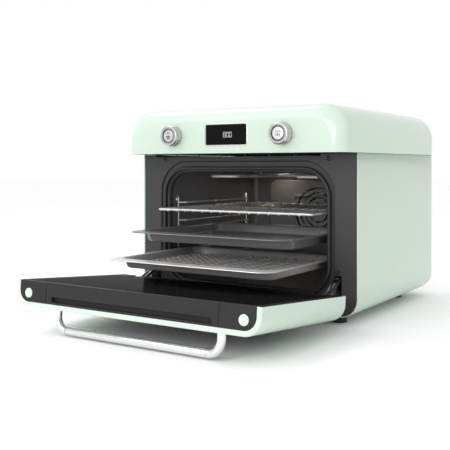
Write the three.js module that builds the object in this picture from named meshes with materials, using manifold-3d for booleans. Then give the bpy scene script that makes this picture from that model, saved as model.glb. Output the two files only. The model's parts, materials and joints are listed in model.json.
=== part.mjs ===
// Countertop convection oven with a drop-down door, shown open with its rack and trays drawn forward.
// Millimetres. X to the right, Y to the back, Z up; the feet stand on z = 0.
// The pieces are laid out with the face of the front frame at y = 0, and ORIGIN_SHIFT then moves
// the whole oven so that the origin lies under the middle of its bounding box.
import * as THREE from 'three';
import { mergeVertices } from 'three/addons/utils/BufferGeometryUtils.js';
import Module from 'manifold-3d';

const wasm = await Module();
wasm.setup();

// ---------------------------------------------------------------- driving dimensions
const GAP = 0.4;                  // clearance between pieces that touch on the real oven
const SHEET = 2;                  // casing sheet, modelled a little thick
const ORIGIN_SHIFT = -58.03;

const HOOD_HALF = 247;            // half width of the hood at the front
const DOOR_HALF = 249;
const HOOD_HALF_REAR = 246;
const HOOD_FRONT = -57;
const HOOD_Z = 316;               // lower edge of the hood
const TOP_Z = 404;
const HOOD_SHEET = 2.5;
const HOOD_ROUND = 50;            // rounding of the hood's long top edges
const HOOD_CORNER = 28;           // rounding round the hood's front face
const BODY_HALF = 244;            // half width of the steel wrap
const BODY_Z = 16;                // underside of the wrap
const BODY_REAR = 458;
const BODY_CORNER = 35;           // lower long edges of the wrap
const REAR_ROUND = 45;            // rounding into the rear face
const WRAP_START = 10;            // the wrap's form starts this far ahead and is cut off at y = 0

const THROAT = { half: 181, low: 59, high: 280, r: 48 };
const GROOVE = { half: 198, low: 38, high: 301, r: 64 };
const RECESS = 5;                 // depth of the sealing recess round the throat
const LINER = { half: 193, low: 54, high: 288, r: 25 };
const LINER_FRONT = 7.2;
const LINER_REAR = 372;
const LINER_SHEET = 1.6;

const FAN_Z = 182;                // height of the fan's axis
const BAFFLE_Y = 345;
const GRILL_Z = 270;

const DISPLAY = { half: 48.5, low: 329.5, high: 373.5, r: 6 };
const KNOB_X = 123;
const KNOB_Z = 351;

// door, described in its closed position
const DOOR_FACE = -61;            // outer face
const DOOR_BACK = -16;            // inner face
const DOOR_LOW = 22;
const DOOR_HIGH = 312;
const DOOR_CORNER = 30;
const DOOR_RIM = 8.7;             // width of the folded rim at both ends of the shell
const DOOR_OPEN = 85;             // degrees from closed to the open position shown
const HINGE = { y: -55, z: 29.1 };
const CARRIAGE = 15.2;            // how far the hinge arms stand forward with the door open
const HINGE_X = 206;              // middle of each hinge arm
const LINK_PIN = { y: -33.2, z: 36.6 };
const LINK_LENGTH = 86.9;
const LINK_ANGLE = 23.4;          // degrees above level with the door open
const BUMPER_Z = 98.5;
const HANDLE = { x: 168, z: 288, y: -96, r: 7, bend: 22 };
const PLUG_X = 219;
const CAP_SEAM = 176;

// rack and trays, with the place of their front edges in the position shown
const RACK = { half: 172, front: -41.5, depth: 330, z: 203.7 };
const ENAMEL_TRAY = { half: 178, front: -141, depth: 314, z: 164.6, deep: 20, grip: 34 };
const ROASTING_TRAY = { half: 178, front: -204, depth: 302, z: 117.3, deep: 18, grip: 31 };
const SHELF_WIRE_X = 174;         // where the side racks bulge in to carry the trays
const POST_X = 188;
const POST_FRONT = 46;
const POST_REAR = 328;

// ---------------------------------------------------------------- solids and booleans
function toSolid(geometry) {
  const bare = geometry.clone();
  bare.deleteAttribute('normal');
  bare.deleteAttribute('uv');
  const merged = mergeVertices(bare, 1e-4);
  const mesh = new wasm.Mesh({
    numProp: 3,
    vertProperties: new Float32Array(merged.attributes.position.array),
    triVerts: new Uint32Array(merged.index.array),
  });
  return new wasm.Manifold(mesh);
}

function toGeometry(body) {
  const mesh = body.getMesh();
  const geometry = new THREE.BufferGeometry();
  geometry.setAttribute('position', new THREE.BufferAttribute(new Float32Array(mesh.vertProperties), 3));
  geometry.setIndex(new THREE.BufferAttribute(new Uint32Array(mesh.triVerts), 1));
  geometry.computeVertexNormals();
  return geometry;
}

function join(geometries) {
  return toGeometry(geometries.map(toSolid).reduce((sum, next) => sum.add(next)));
}

function cut(geometry, tools) {
  return toGeometry(tools.map(toSolid).reduce((rest, tool) => rest.subtract(tool), toSolid(geometry)));
}

// ---------------------------------------------------------------- outlines and simple shapes
// Rounded rectangle as a counter-clockwise list of 2-D points.
function roundedRect(x0, x1, y0, y1, radius, steps = 4) {
  const radii = Array.isArray(radius) ? radius : [radius, radius, radius, radius];
  const signs = [[1, 1, 0], [-1, 1, 90], [-1, -1, 180], [1, -1, 270]];
  const points = [];
  signs.forEach(([sx, sy, start], corner) => {
    const r = Math.max(radii[corner], 0.05);
    const cx = (sx > 0 ? x1 : x0) - sx * r;
    const cy = (sy > 0 ? y1 : y0) - sy * r;
    for (let i = 0; i <= steps; i++) {
      const angle = THREE.MathUtils.degToRad(start + (90 * i) / steps);
      points.push(new THREE.Vector2(cx + r * Math.cos(angle), cy + r * Math.sin(angle)));
    }
  });
  return points;
}

const frameOutline = (f, grow = 0, steps = 4) =>
  roundedRect(-f.half - grow, f.half + grow, f.low - grow, f.high + grow, f.r + grow, steps);

function extruded(outline, holes, depth) {
  const shape = new THREE.Shape(outline);
  shape.holes = holes.map((hole) => new THREE.Path(hole));
  return new THREE.ExtrudeGeometry(shape, { depth, bevelEnabled: false, steps: 1 });
}

// Slabs of an outline: in the X-Z plane between two y, in X-Y between two z, in Y-Z between two x.
function slabY(outline, y0, y1, holes = []) {
  return extruded(outline, holes, y1 - y0).rotateX(Math.PI / 2).translate(0, y1, 0);
}

function slabZ(outline, z0, z1, holes = []) {
  return extruded(outline, holes, z1 - z0).translate(0, 0, z0);
}

function slabX(outline, x0, x1, holes = []) {
  const turn = new THREE.Matrix4().makeBasis(
    new THREE.Vector3(0, 1, 0), new THREE.Vector3(0, 0, 1), new THREE.Vector3(1, 0, 0));
  return extruded(outline, holes, x1 - x0).applyMatrix4(turn).translate(x0, 0, 0);
}

function box(x0, x1, y0, y1, z0, z1) {
  return new THREE.BoxGeometry(x1 - x0, y1 - y0, z1 - z0)
    .translate((x0 + x1) / 2, (y0 + y1) / 2, (z0 + z1) / 2);
}

// Round bar between two points.
function rod(from, to, radius, sides = 6) {
  const a = new THREE.Vector3(...from);
  const b = new THREE.Vector3(...to);
  const way = b.clone().sub(a);
  const geometry = new THREE.CylinderGeometry(radius, radius, way.length(), sides);
  geometry.applyQuaternion(new THREE.Quaternion().setFromUnitVectors(
    new THREE.Vector3(0, 1, 0), way.normalize()));
  return geometry.translate((a.x + b.x) / 2, (a.y + b.y) / 2, (a.z + b.z) / 2);
}

// A lathe turned about a line parallel to Y through (x, z); heights run from y towards the front.
function turnedForward(profile, x, y, z, sides = 20) {
  const points = profile.map(([r, h]) => new THREE.Vector2(r, h));
  return new THREE.LatheGeometry(points, sides).rotateX(Math.PI).translate(x, y, z);
}

// A polyline that a section can be swept along, with its corners rounded.
class Route extends THREE.Curve {
  constructor(points) {
    super();
    this.points = points;
  }
  getPoint(t) {
    const s = t * (this.points.length - 1);
    const i = Math.min(Math.floor(s + 1e-9), this.points.length - 2);
    return this.points[i].clone().lerp(this.points[i + 1], s - i);
  }
  getPointAt(u) {
    return this.getPoint(u);
  }
  getTangentAt(u) {
    const i = Math.round(u * (this.points.length - 1));
    const before = this.points[Math.max(i - 1, 0)];
    const after = this.points[Math.min(i + 1, this.points.length - 1)];
    return after.clone().sub(before).normalize();
  }
}

function roundCorners(corners, radius, steps) {
  const points = corners.map((c) => new THREE.Vector3(...c));
  const route = [points[0]];
  for (let i = 1; i < points.length - 1; i++) {
    const before = points[i - 1].clone().sub(points[i]).setLength(radius).add(points[i]);
    const after = points[i + 1].clone().sub(points[i]).setLength(radius).add(points[i]);
    route.push(...new THREE.QuadraticBezierCurve3(before, points[i], after).getPoints(steps));
  }
  route.push(points[points.length - 1]);
  return route;
}

function bentTube(corners, bend, radius, sides = 8, steps = 4) {
  const points = roundCorners(corners, bend, steps);
  const section = new THREE.Shape(new THREE.EllipseCurve(0, 0, radius, radius).getPoints(sides).slice(0, -1));
  return new THREE.ExtrudeGeometry(section, {
    steps: points.length - 1, extrudePath: new Route(points), bevelEnabled: false,
  });
}

// Closed skin through loops with equal numbers of points; the first and last loops are capped.
function skin(loops) {
  const count = loops[0].length;
  const first = loops[0];
  const last = loops[loops.length - 1];
  const middle = (loop) => loop.reduce((sum, p) => sum.add(p), new THREE.Vector3()).divideScalar(count);
  const vertices = [...loops.flat(), middle(first), middle(last)];
  const index = [];
  for (let row = 0; row < loops.length - 1; row++) {
    for (let i = 0; i < count; i++) {
      const j = (i + 1) % count;
      const a = row * count + i;
      const b = row * count + j;
      index.push(a, b, b + count, a, b + count, a + count);
    }
  }
  const lastRow = (loops.length - 1) * count;
  for (let i = 0; i < count; i++) {
    const j = (i + 1) % count;
    index.push(vertices.length - 2, j, i);
    index.push(vertices.length - 1, lastRow + i, lastRow + j);
  }
  const geometry = new THREE.BufferGeometry().setFromPoints(vertices);
  geometry.setIndex(index);
  if (signedVolume(geometry) < 0) {
    geometry.setIndex(index.slice().reverse());
  }
  geometry.computeVertexNormals();
  return geometry;
}

function signedVolume(geometry) {
  const position = geometry.attributes.position;
  const index = geometry.index.array;
  const corner = (i) => new THREE.Vector3().fromBufferAttribute(position, index[i]);
  let volume = 0;
  for (let i = 0; i < index.length; i += 3) {
    volume += corner(i).dot(corner(i + 1).cross(corner(i + 2))) / 6;
  }
  return volume;
}

// ---------------------------------------------------------------- casing
// Soft-edged casing: an upright outline swept from front to back, set in round the front and rear
// faces by two different roundings. A sheet thickness gives the matching inner form.
function casingForm(loopAt, sheet, front, rear, frontRound, rearRound) {
  const loops = [];
  const steps = 5;
  for (let i = 0; i <= steps; i++) {
    const angle = (Math.PI / 2) * (i / steps);
    const r = frontRound - sheet;
    loops.push(loopAt(r * (1 - Math.sin(angle)) + sheet, front + sheet + r * (1 - Math.cos(angle))));
  }
  for (let i = 0; i <= steps; i++) {
    const angle = (Math.PI / 2) * (i / steps);
    const r = rearRound - sheet;
    loops.push(loopAt(r * (1 - Math.cos(angle)) + sheet, rear - rearRound + r * Math.sin(angle)));
  }
  return skin(loops);
}

function hoodLoop(inset, y) {
  const taper = ((HOOD_HALF - HOOD_HALF_REAR) * (y - HOOD_FRONT)) / (BODY_REAR - HOOD_FRONT);
  const half = HOOD_HALF - taper - inset;
  const r = HOOD_ROUND - inset * 0.3;
  return roundedRect(-half, half, HOOD_Z - 60, TOP_Z - inset, [r, r, 1, 1], 5)
    .map((p) => new THREE.Vector3(p.x, y, p.y));
}

function hood() {
  const form = (sheet) => casingForm(hoodLoop, sheet, HOOD_FRONT, BODY_REAR, HOOD_CORNER, REAR_ROUND);
  const below = box(-300, 300, -100, BODY_REAR + 10, 0, HOOD_Z);
  const window = slabY(frameOutline(DISPLAY, GAP), HOOD_FRONT - 5, HOOD_FRONT + 5);
  const spindles = [-KNOB_X, KNOB_X].map((x) =>
    rod([x, HOOD_FRONT - 5, KNOB_Z], [x, HOOD_FRONT + 5, KNOB_Z], 5, 12));
  return cut(form(0), [form(HOOD_SHEET), below, window, ...spindles]);
}

function wrapLoop(inset, y) {
  const half = BODY_HALF - inset;
  const r = BODY_CORNER - inset * 0.3;
  return roundedRect(-half, half, BODY_Z + inset, HOOD_Z + 80, [1, 1, r, r], 5)
    .map((p) => new THREE.Vector3(p.x, y, p.y));
}

const REAR_WINDOW = { half: 172, low: 88, high: 296, r: 12 };

function outerWrap() {
  const top = box(-300, 300, -10, BODY_REAR + 10, HOOD_Z - GAP, HOOD_Z + 200);
  const window = slabY(frameOutline(REAR_WINDOW), BODY_REAR - 12, BODY_REAR + 5);
  const form = (sheet) => casingForm(wrapLoop, sheet, -WRAP_START, BODY_REAR, WRAP_START, REAR_ROUND);
  const ahead = box(-300, 300, -100, 0, 0, 500);
  return cut(form(0), [form(SHEET), ahead, top, window]);
}

function rearCover() {
  const y0 = BODY_REAR - SHEET - GAP - 1.6;
  const louvres = [];
  for (const side of [-1, 1]) {
    for (let row = 0; row < 7; row++) {
      const z = 150 + row * 18;
      louvres.push(roundedRect(side * 92 - 55, side * 92 + 55, z, z + 6, 3, 2));
    }
  }
  const inlet = new THREE.EllipseCurve(0, 112, 11, 11).getPoints(12).slice(0, -1);
  return slabY(roundedRect(-182, 182, 78, 306, 10), y0, y0 + 1.6, [...louvres, inlet]);
}

function powerInlet() {
  const inside = BODY_REAR - SHEET - 2 * GAP - 5.6;
  const profile = [[0, 0], [15, 0], [15, 4], [10.4, 4], [10.4, 16], [6, 19], [0, 19]];
  const points = profile.map(([r, h]) => new THREE.Vector2(r, h));
  return new THREE.LatheGeometry(points, 16).translate(0, inside, 112);
}

function basePlate() {
  return slabZ(roundedRect(-196, 196, 24, 380, 14), BODY_Z + SHEET + GAP, BODY_Z + SHEET + GAP + 2);
}

function topChassis() {
  const blower = roundedRect(-86, 86, 122, 176, 4, 2);
  const cable = roundedRect(150, 190, 300, 330, 8, 3);
  const plate = slabZ(roundedRect(-240, 240, HOOD_FRONT + 3.2, 380, 26), HOOD_Z + 1.2, HOOD_Z + 3, [blower, cable]);
  return plate;
}

function foot(x, y) {
  const profile = [[0, 0], [13, 0], [15, 2], [15, 11], [13, BODY_Z - GAP], [0, BODY_Z - GAP]];
  const points = profile.map(([r, h]) => new THREE.Vector2(r, h));
  return new THREE.LatheGeometry(points, 16).rotateX(Math.PI / 2).translate(x, y, 0);
}

// ---------------------------------------------------------------- front frame and cavity
function frontFrame() {
  const face = roundedRect(-241.4, 241.4, BODY_Z + SHEET + GAP, HOOD_Z + 0.4, [2, 2, 33, 33], 5);
  const plate = slabY(face, 0, SHEET, [frameOutline(GROOVE)]);
  const wall = slabY(frameOutline(GROOVE, 1.4), 1, RECESS + 1.4, [frameOutline(GROOVE)]);
  const ledge = slabY(frameOutline(GROOVE, 1.4), RECESS, RECESS + 1.4, [frameOutline(THROAT)]);
  const collar = slabY(frameOutline(THROAT, 1.6), RECESS, 17, [frameOutline(THROAT)]);
  const openings = [];
  for (const side of [-1, 1]) {
    openings.push(box(side * 206.25 - 7.25, side * 206.25 + 7.25, -2, 8, 20.5, 91.8));
    openings.push(rod([side * HINGE_X, -2, BUMPER_Z], [side * HINGE_X, 8, BUMPER_Z], 4, 10));
    openings.push(rod([side * 188, -2, 306], [side * 188, 8, 306], 4, 10));
  }
  const slots = 7;
  const pitch = 55;
  for (let i = 0; i < slots; i++) {
    const x = -20 + (i - (slots - 1) / 2) * pitch;
    openings.push(box(x - pitch / 2 + 1.2, x + pitch / 2 - 1.2, -2, 8, 310.6, 314.6));
  }
  return cut(join([plate, wall, ledge, collar]), openings);
}

function doorGasket() {
  return slabY(frameOutline(THROAT, 11), -4, RECESS - GAP, [frameOutline(THROAT, 4)]);
}

// Dome-headed screw sunk in a hole of the front frame.
function frameScrew(x, z) {
  return turnedForward([[0, -6], [3.2, -6], [3.2, -0.6], [2.2, 0.9], [0, 1.6]], x, 0, z, 10);
}

function doorBumper(x, z) {
  return turnedForward([[0, -5], [3.4, -5], [3.4, 1.5], [3.8, 3], [3.2, 5], [1.6, 6.2], [0, 6.6]], x, 0, z, 12);
}

function cavityLiner() {
  const outer = slabY(frameOutline(LINER, LINER_SHEET), LINER_FRONT, LINER_REAR + LINER_SHEET);
  const inner = slabY(frameOutline(LINER), LINER_FRONT - 5, LINER_REAR);
  const holes = [rod([0, LINER_REAR - 5, FAN_Z], [0, LINER_REAR + 5, FAN_Z], 6, 12)];
  for (const side of [-1, 1]) {
    holes.push(rod([side * 22, LINER_REAR - 5, GRILL_Z], [side * 22, LINER_REAR + 5, GRILL_Z], 4.2, 8));
    holes.push(rod([side * 12, LINER_REAR - 5, FAN_Z - 71], [side * 12, LINER_REAR + 5, FAN_Z - 71], 4.2, 8));
  }
  holes.push(box(-110, -60, 296, 332, LINER.high - 3, LINER.high + 4));
  return cut(outer, [inner, ...holes]);
}

function insulationBlanket() {
  const ring = slabY(frameOutline(LINER, LINER_SHEET + 13), 46, 366, [frameOutline(LINER, LINER_SHEET + GAP)]);
  return cut(ring, [box(-114, -56, 292, 336, 280, 310)]);
}

function lampLens() {
  return slabZ(roundedRect(-108, -62, 298, 330, 6), LINER.high - 8, LINER.high + 6);
}

// Circular grille of two rings of curved slots.
function slotOutlines(x, z) {
  const outlines = [];
  const rings = [[20, 27, 3], [34, 41, 4], [48, 55, 5]];
  for (const [inner, outer, count] of rings) {
    for (let i = 0; i < count; i++) {
      const start = (2 * Math.PI * i) / count + 0.12;
      const sweep = (2 * Math.PI) / count - 0.24;
      const points = [];
      for (const [radius, way] of [[outer, 1], [inner, -1]]) {
        for (let k = 0; k <= 4; k++) {
          const angle = start + sweep * (way > 0 ? k / 4 : 1 - k / 4);
          points.push(new THREE.Vector2(x + radius * Math.cos(angle), z + radius * Math.sin(angle)));
        }
      }
      outlines.push(points);
    }
  }
  return outlines;
}

function fanBaffle() {
  const pan = { half: 134, low: 62, high: 262, r: 22 };
  const face = slabY(frameOutline(pan), BAFFLE_Y, BAFFLE_Y + 1.6);
  const rim = slabY(frameOutline(pan), BAFFLE_Y + 1, LINER_REAR - GAP, [frameOutline(pan, -1.6)]);
  const slots = slotOutlines(0, FAN_Z).map((outline) => slabY(outline, BAFFLE_Y - 2, BAFFLE_Y + 4));
  return cut(join([face, rim]), slots);
}

function fanImpeller() {
  const y0 = BAFFLE_Y + 8;
  const parts = [
    rod([0, y0 + 10, FAN_Z], [0, y0 + 12, FAN_Z], 56, 24),
    rod([0, y0, FAN_Z], [0, y0 + 11, FAN_Z], 9, 12),
    rod([0, y0 + 11, FAN_Z], [0, LINER_REAR + 14, FAN_Z], 4, 10),
  ];
  for (let i = 0; i < 12; i++) {
    const blade = box(24, 55, -0.8, 0.8, -5.5, 5.5).rotateX(Math.PI / 2);
    blade.rotateY((Math.PI / 6) * i + 0.3).translate(0, y0 + 5.5, FAN_Z);
    parts.push(blade);
  }
  return join(parts);
}

function fanMotor() {
  const profile = [[0, -50], [14, -50], [14, -42], [36, -42], [36, -5], [14, -5], [14, 0],
    [4.5, 0], [4.5, -30], [0, -30]];
  return turnedForward(profile, 0, LINER_REAR + LINER_SHEET + GAP, FAN_Z, 20);
}

function ringElement() {
  const loop = new THREE.TorusGeometry(72, 3.3, 8, 32).rotateX(Math.PI / 2).translate(0, 360, FAN_Z);
  const legs = [-12, 12].map((x) => rod([x, 359, FAN_Z - 71], [x, LINER_REAR + 10, FAN_Z - 71], 3.3, 8));
  return join([loop, ...legs]);
}

function grillElement() {
  const rear = 336;
  return bentTube([
    [-22, LINER_REAR + 10, GRILL_Z], [-22, rear, GRILL_Z], [-138, rear, GRILL_Z], [-138, 92, GRILL_Z],
    [-70, 92, GRILL_Z], [-70, 270, GRILL_Z], [70, 270, GRILL_Z], [70, 92, GRILL_Z],
    [138, 92, GRILL_Z], [138, rear, GRILL_Z], [22, rear, GRILL_Z], [22, LINER_REAR + 10, GRILL_Z],
  ], 18, 3.3, 8, 4);
}

// Strap that hangs a run of the grill element from the cavity's ceiling.
function elementBracket(x) {
  const strap = slabY(roundedRect(x - 7, x + 7, GRILL_Z - 7, LINER.high - GAP, 3, 2), 299, 301);
  return cut(strap, [rod([x, 290, GRILL_Z], [x, 310, GRILL_Z], 4, 8)]);
}

function sideRack(side) {
  const post = side * POST_X;
  const shelf = side * SHELF_WIRE_X;
  const r = 1.6;
  const parts = [];
  for (const y of [POST_FRONT, POST_REAR]) {
    parts.push(rod([post, y, 76], [post, y, 226], 1.9));
    for (const z of [84, 220]) {
      parts.push(rod([post, y, z], [side * (LINER.half - GAP), y, z], 4.5, 8));
    }
  }
  const levels = [RACK.z - 2.4, ENAMEL_TRAY.z - 1.6, ROASTING_TRAY.z - 1.6];
  for (const top of levels) {
    for (const z of [top - GAP - r, top + 12.5]) {
      parts.push(bentTube([
        [post, POST_FRONT, z], [shelf, POST_FRONT + 12, z],
        [shelf, POST_REAR - 12, z], [post, POST_REAR, z],
      ], 8, r, 6, 2));
    }
  }
  return join(parts);
}

// ---------------------------------------------------------------- rack and trays
function wireRack() {
  const { half, front, depth, z } = RACK;
  const rear = front + depth;
  const parts = [];
  for (const y of [front, rear]) {
    parts.push(rod([-half + 6, y, z], [half - 6, y, z], 2.4));
  }
  parts.push(rod([-half, front + depth / 2, z - 0.5], [half, front + depth / 2, z - 0.5], 1.7));
  for (const side of [-1, 1]) {
    const x = side * half;
    const inner = x - side * 6;
    const notch = front + 190;
    parts.push(bentTube([[x - side * 10, front, z], [x, front, z], [x, notch - 22, z], [inner, notch - 13, z],
      [inner, notch, z - 5.6], [inner, notch + 13, z], [x, notch + 22, z], [x, rear, z],
      [x - side * 10, rear, z]], 4, 2.4, 6, 1));
  }
  const wires = 15;
  for (let i = 0; i < wires; i++) {
    const x = (i - (wires - 1) / 2) * 21.3;
    parts.push(rod([x, front - 1, z + 1.2], [x, rear + 1, z + 1.2], 1.4, 4));
  }
  return join(parts);
}

// Pressed tray whose rim is widest at the front, as a grip.
function tray({ half, front, depth, z, deep, grip }) {
  const sheet = 1.4;
  const lip = 10;
  const loop = (inset, height, r) => {
    const ahead = inset < lip - sheet - 0.1 ? inset : inset + grip - lip;
    return roundedRect(-half + inset, half - inset, front + ahead, front + depth - inset, r, 4)
      .map((p) => new THREE.Vector3(p.x, p.y, height));
  };
  return skin([
    loop(lip + 11, z - deep - sheet, 16),
    loop(lip + 6, z - deep, 19),
    loop(lip - sheet, z - sheet, 24),
    loop(0, z - sheet, 30),
    loop(0, z, 30),
    loop(lip, z, 23),
    loop(lip + 6 + sheet, z - deep + 1.4, 18),
    loop(lip + 11, z - deep, 16),
  ]);
}

// Wire trivet that stands in the roasting tray.
function meshInsert() {
  const { front, depth, z, deep, grip } = ROASTING_TRAY;
  const floor = z - deep + GAP;
  const x0 = -146;
  const y0 = front + grip + 22;
  const y1 = front + depth - 32;
  const parts = [];
  const across = 7;
  const along = 8;
  for (let i = 0; i < across; i++) {
    const y = y0 + ((y1 - y0) * i) / (across - 1);
    parts.push(box(x0, -x0, y - 1, y + 1, floor + 6, floor + 8));
  }
  for (let i = 0; i < along; i++) {
    const x = x0 + (-2 * x0 * i) / (along - 1);
    parts.push(box(x - 1, x + 1, y0 - 1, y1 + 1, floor + 6.5, floor + 8.5));
  }
  for (const x of [x0 + 1, -x0 - 1]) {
    for (const y of [y0 + 20, y1 - 20]) {
      parts.push(box(x - 1.5, x + 1.5, y - 1.5, y + 1.5, floor, floor + 7));
    }
  }
  return join(parts);
}

// ---------------------------------------------------------------- controls
function displayBezel() {
  return slabY(frameOutline(DISPLAY), HOOD_FRONT - 1.4, HOOD_FRONT + 3.4, [frameOutline(DISPLAY, -2.6)]);
}

function displayGlass() {
  return slabY(frameOutline(DISPLAY, -2.6 - GAP), HOOD_FRONT - 0.6, HOOD_FRONT + 3);
}

function controlBoard() {
  const y = HOOD_FRONT + 10;
  return join([
    box(-60, 60, y, y + 1.6, 324, 380),
    box(-44, 44, y - 5, y + 0.5, 334, 370),
    box(-20, 10, y + 1, y + 12, 330, 350),
    box(24, 50, y + 1, y + 9, 352, 374),
  ]);
}

// Rotary encoder with its spindle coming out through the hood.
function encoder(x) {
  const y = HOOD_FRONT + HOOD_SHEET + GAP;
  return join([
    box(x - 9, x + 9, y, y + 12, KNOB_Z - 9, KNOB_Z + 9),
    rod([x, HOOD_FRONT - 11, KNOB_Z], [x, y + 1, KNOB_Z], 3, 10),
  ]);
}

function knob(x) {
  const profile = [[0, 12], [3.5, 12], [3.5, GAP], [20.5, GAP], [20.5, 7], [19, 8.2], [19, 9.6],
    [20.3, 11], [20.3, 17], [18.6, 19], [14.6, 19], [14.6, 14], [0, 14]];
  return turnedForward(profile, x, HOOD_FRONT, KNOB_Z, 24);
}

function knobButton(x) {
  return turnedForward([[0, 15.8], [14.1, 15.8], [14.1, 18.2], [13.4, 18.9], [0, 18.9]], x, HOOD_FRONT, KNOB_Z, 24);
}

// ---------------------------------------------------------------- cooling blower in the hood
const BLOWER = { half: 80, y: 149, z: 350, r: 26 };

function coolingHousing() {
  const scroll = (r, from, to, steps) => Array.from({ length: steps + 1 }, (_, i) => {
    const angle = THREE.MathUtils.degToRad(from + ((to - from) * i) / steps);
    return new THREE.Vector2(BLOWER.y + r * Math.cos(angle), BLOWER.z + r * Math.sin(angle));
  });
  const outline = [...scroll(BLOWER.r + 4, -100, 140, 12), ...scroll(BLOWER.r + 2.2, 140, -100, 12)];
  const shell = slabX(outline, -BLOWER.half, BLOWER.half);
  const ends = [-1, 1].map((side) => slabX(
    new THREE.EllipseCurve(BLOWER.y, BLOWER.z, BLOWER.r + 4, BLOWER.r + 4).getPoints(18).slice(0, -1),
    side * BLOWER.half - 1, side * BLOWER.half + 1));
  return cut(join([shell, ...ends]), [
    rod([-BLOWER.half - 5, BLOWER.y, BLOWER.z], [BLOWER.half + 5, BLOWER.y, BLOWER.z], 4, 10)]);
}

function coolingRotor() {
  const parts = [rod([-BLOWER.half - 8, BLOWER.y, BLOWER.z], [BLOWER.half + 8, BLOWER.y, BLOWER.z], 2.5, 8)];
  for (const x of [-74, 0, 74]) {
    parts.push(rod([x - 1, BLOWER.y, BLOWER.z], [x + 1, BLOWER.y, BLOWER.z], 24, 16));
  }
  for (let i = 0; i < 10; i++) {
    const blade = box(-74, 74, 18, 23.5, -0.6, 0.6).rotateX((Math.PI / 5) * i + 0.1);
    parts.push(blade.translate(0, BLOWER.y, BLOWER.z));
  }
  return join(parts);
}

// ---------------------------------------------------------------- door, in its closed position
// Half of the door's channel section from the inner edge round to the middle, set in by an amount.
function channel(inset, steps = 6) {
  const points = [new THREE.Vector2(DOOR_HALF - inset, DOOR_BACK)];
  const r = DOOR_CORNER - inset;
  const cx = DOOR_HALF - DOOR_CORNER;
  const cy = DOOR_FACE + DOOR_CORNER;
  for (let i = 0; i <= steps; i++) {
    const angle = (-Math.PI / 2) * (i / steps);
    points.push(new THREE.Vector2(cx + r * Math.cos(angle), cy + r * Math.sin(angle)));
  }
  return points;
}

function channelOutline(inset) {
  const right = channel(inset);
  const left = right.map((p) => new THREE.Vector2(-p.x, p.y)).reverse();
  return [...right, ...left];
}

const DOOR_WINDOW = { half: 178, low: 72, high: 258, r: 24 };
const hingeNotch = (side, x = 9) =>
  box(side * HINGE_X - x, side * HINGE_X + x, DOOR_FACE + SHEET, DOOR_BACK + 5, DOOR_LOW - 5, 56);

function doorShell() {
  const outer = slabZ(channelOutline(0), DOOR_LOW, DOOR_HIGH);
  const hollow = box(-400, 400, DOOR_BACK - 0.01, 50, 0, 400);
  const inner = slabZ(channelOutline(SHEET), DOOR_LOW + 3, DOOR_HIGH - 3);
  const mouth = slabZ(channelOutline(DOOR_RIM), DOOR_LOW - 5, DOOR_HIGH + 5);
  const window = slabY(frameOutline(DOOR_WINDOW), DOOR_FACE - 5, DOOR_FACE + SHEET + 1);
  return cut(outer, [hollow, inner, mouth, window, hingeNotch(-1), hingeNotch(1)]);
}

function doorOuterGlass() {
  return slabY(frameOutline(DOOR_WINDOW, 7, 3), DOOR_FACE + SHEET + GAP, DOOR_FACE + SHEET + GAP + 3.6);
}

const DOOR_GLASS = { half: 232, low: 62, high: 299, r: 6 };

function doorInnerGlass() {
  return slabY(frameOutline(DOOR_GLASS, 0, 2), DOOR_BACK - 4, DOOR_BACK);
}

// Dark steel pan behind the inner glass: a ledge under the glass, side rails and a lower rail.
function doorInnerFrame() {
  const edge = DOOR_HALF - SHEET - GAP;
  const pan = slabY(roundedRect(-edge, edge, DOOR_LOW + 3.4, 300, 2, 2), DOOR_BACK - 12, DOOR_BACK);
  const seat = slabY(frameOutline(DOOR_GLASS, GAP, 2), DOOR_BACK - 4 - GAP, DOOR_BACK + 5);
  const view = slabY(frameOutline(DOOR_WINDOW, 8, 3), DOOR_BACK - 20, DOOR_BACK + 5);
  const lower = box(-190, 190, DOOR_BACK - 20, DOOR_BACK - 2, 0, 56);
  return cut(pan, [seat, view, lower, hingeNotch(-1), hingeNotch(1)]);
}

// Plastic caps that close the door's upper end inside the folded rim of the shell.
function capForm() {
  return slabZ(channelOutline(DOOR_RIM + GAP), 300.4, DOOR_HIGH - 0.5);
}

function doorCapCentre() {
  const keep = box(-CAP_SEAM, CAP_SEAM, -100, 0, 290, 320);
  const slot = box(-164, 164, DOOR_FACE + 12.5, DOOR_FACE + 21.5, 303, 320);
  return toGeometry(toSolid(capForm()).intersect(toSolid(keep)).subtract(toSolid(slot)));
}

function doorCapEnd(side) {
  const keep = box(CAP_SEAM + 0.6, 260, -100, 0, 290, 320).translate(side < 0 ? -CAP_SEAM - 260.6 : 0, 0, 0);
  const hole = rod([side * PLUG_X, -37, 290], [side * PLUG_X, -37, 330], 8.9, 16);
  return toGeometry(toSolid(capForm()).intersect(toSolid(keep)).subtract(toSolid(hole)));
}

function capPlug(side) {
  return rod([side * PLUG_X, -37, 301], [side * PLUG_X, -37, DOOR_HIGH], 8.5, 16);
}

function doorBottomCap() {
  const reach = HINGE_X - 10;
  return box(-reach, reach, DOOR_FACE + DOOR_RIM + GAP, DOOR_BACK - 0.5, DOOR_LOW + 0.4, DOOR_LOW + 3);
}

function handleBar() {
  const reach = HANDLE.x - HANDLE.bend - 2;
  return rod([-reach, HANDLE.y, HANDLE.z], [reach, HANDLE.y, HANDLE.z], HANDLE.r, 14);
}

function handleElbow(side) {
  const end = HANDLE.x - HANDLE.bend - 2 + GAP;
  return bentTube([[side * end, HANDLE.y, HANDLE.z], [side * HANDLE.x, HANDLE.y, HANDLE.z],
    [side * HANDLE.x, DOOR_FACE - GAP, HANDLE.z]], HANDLE.bend, HANDLE.r, 14, 6);
}

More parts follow.
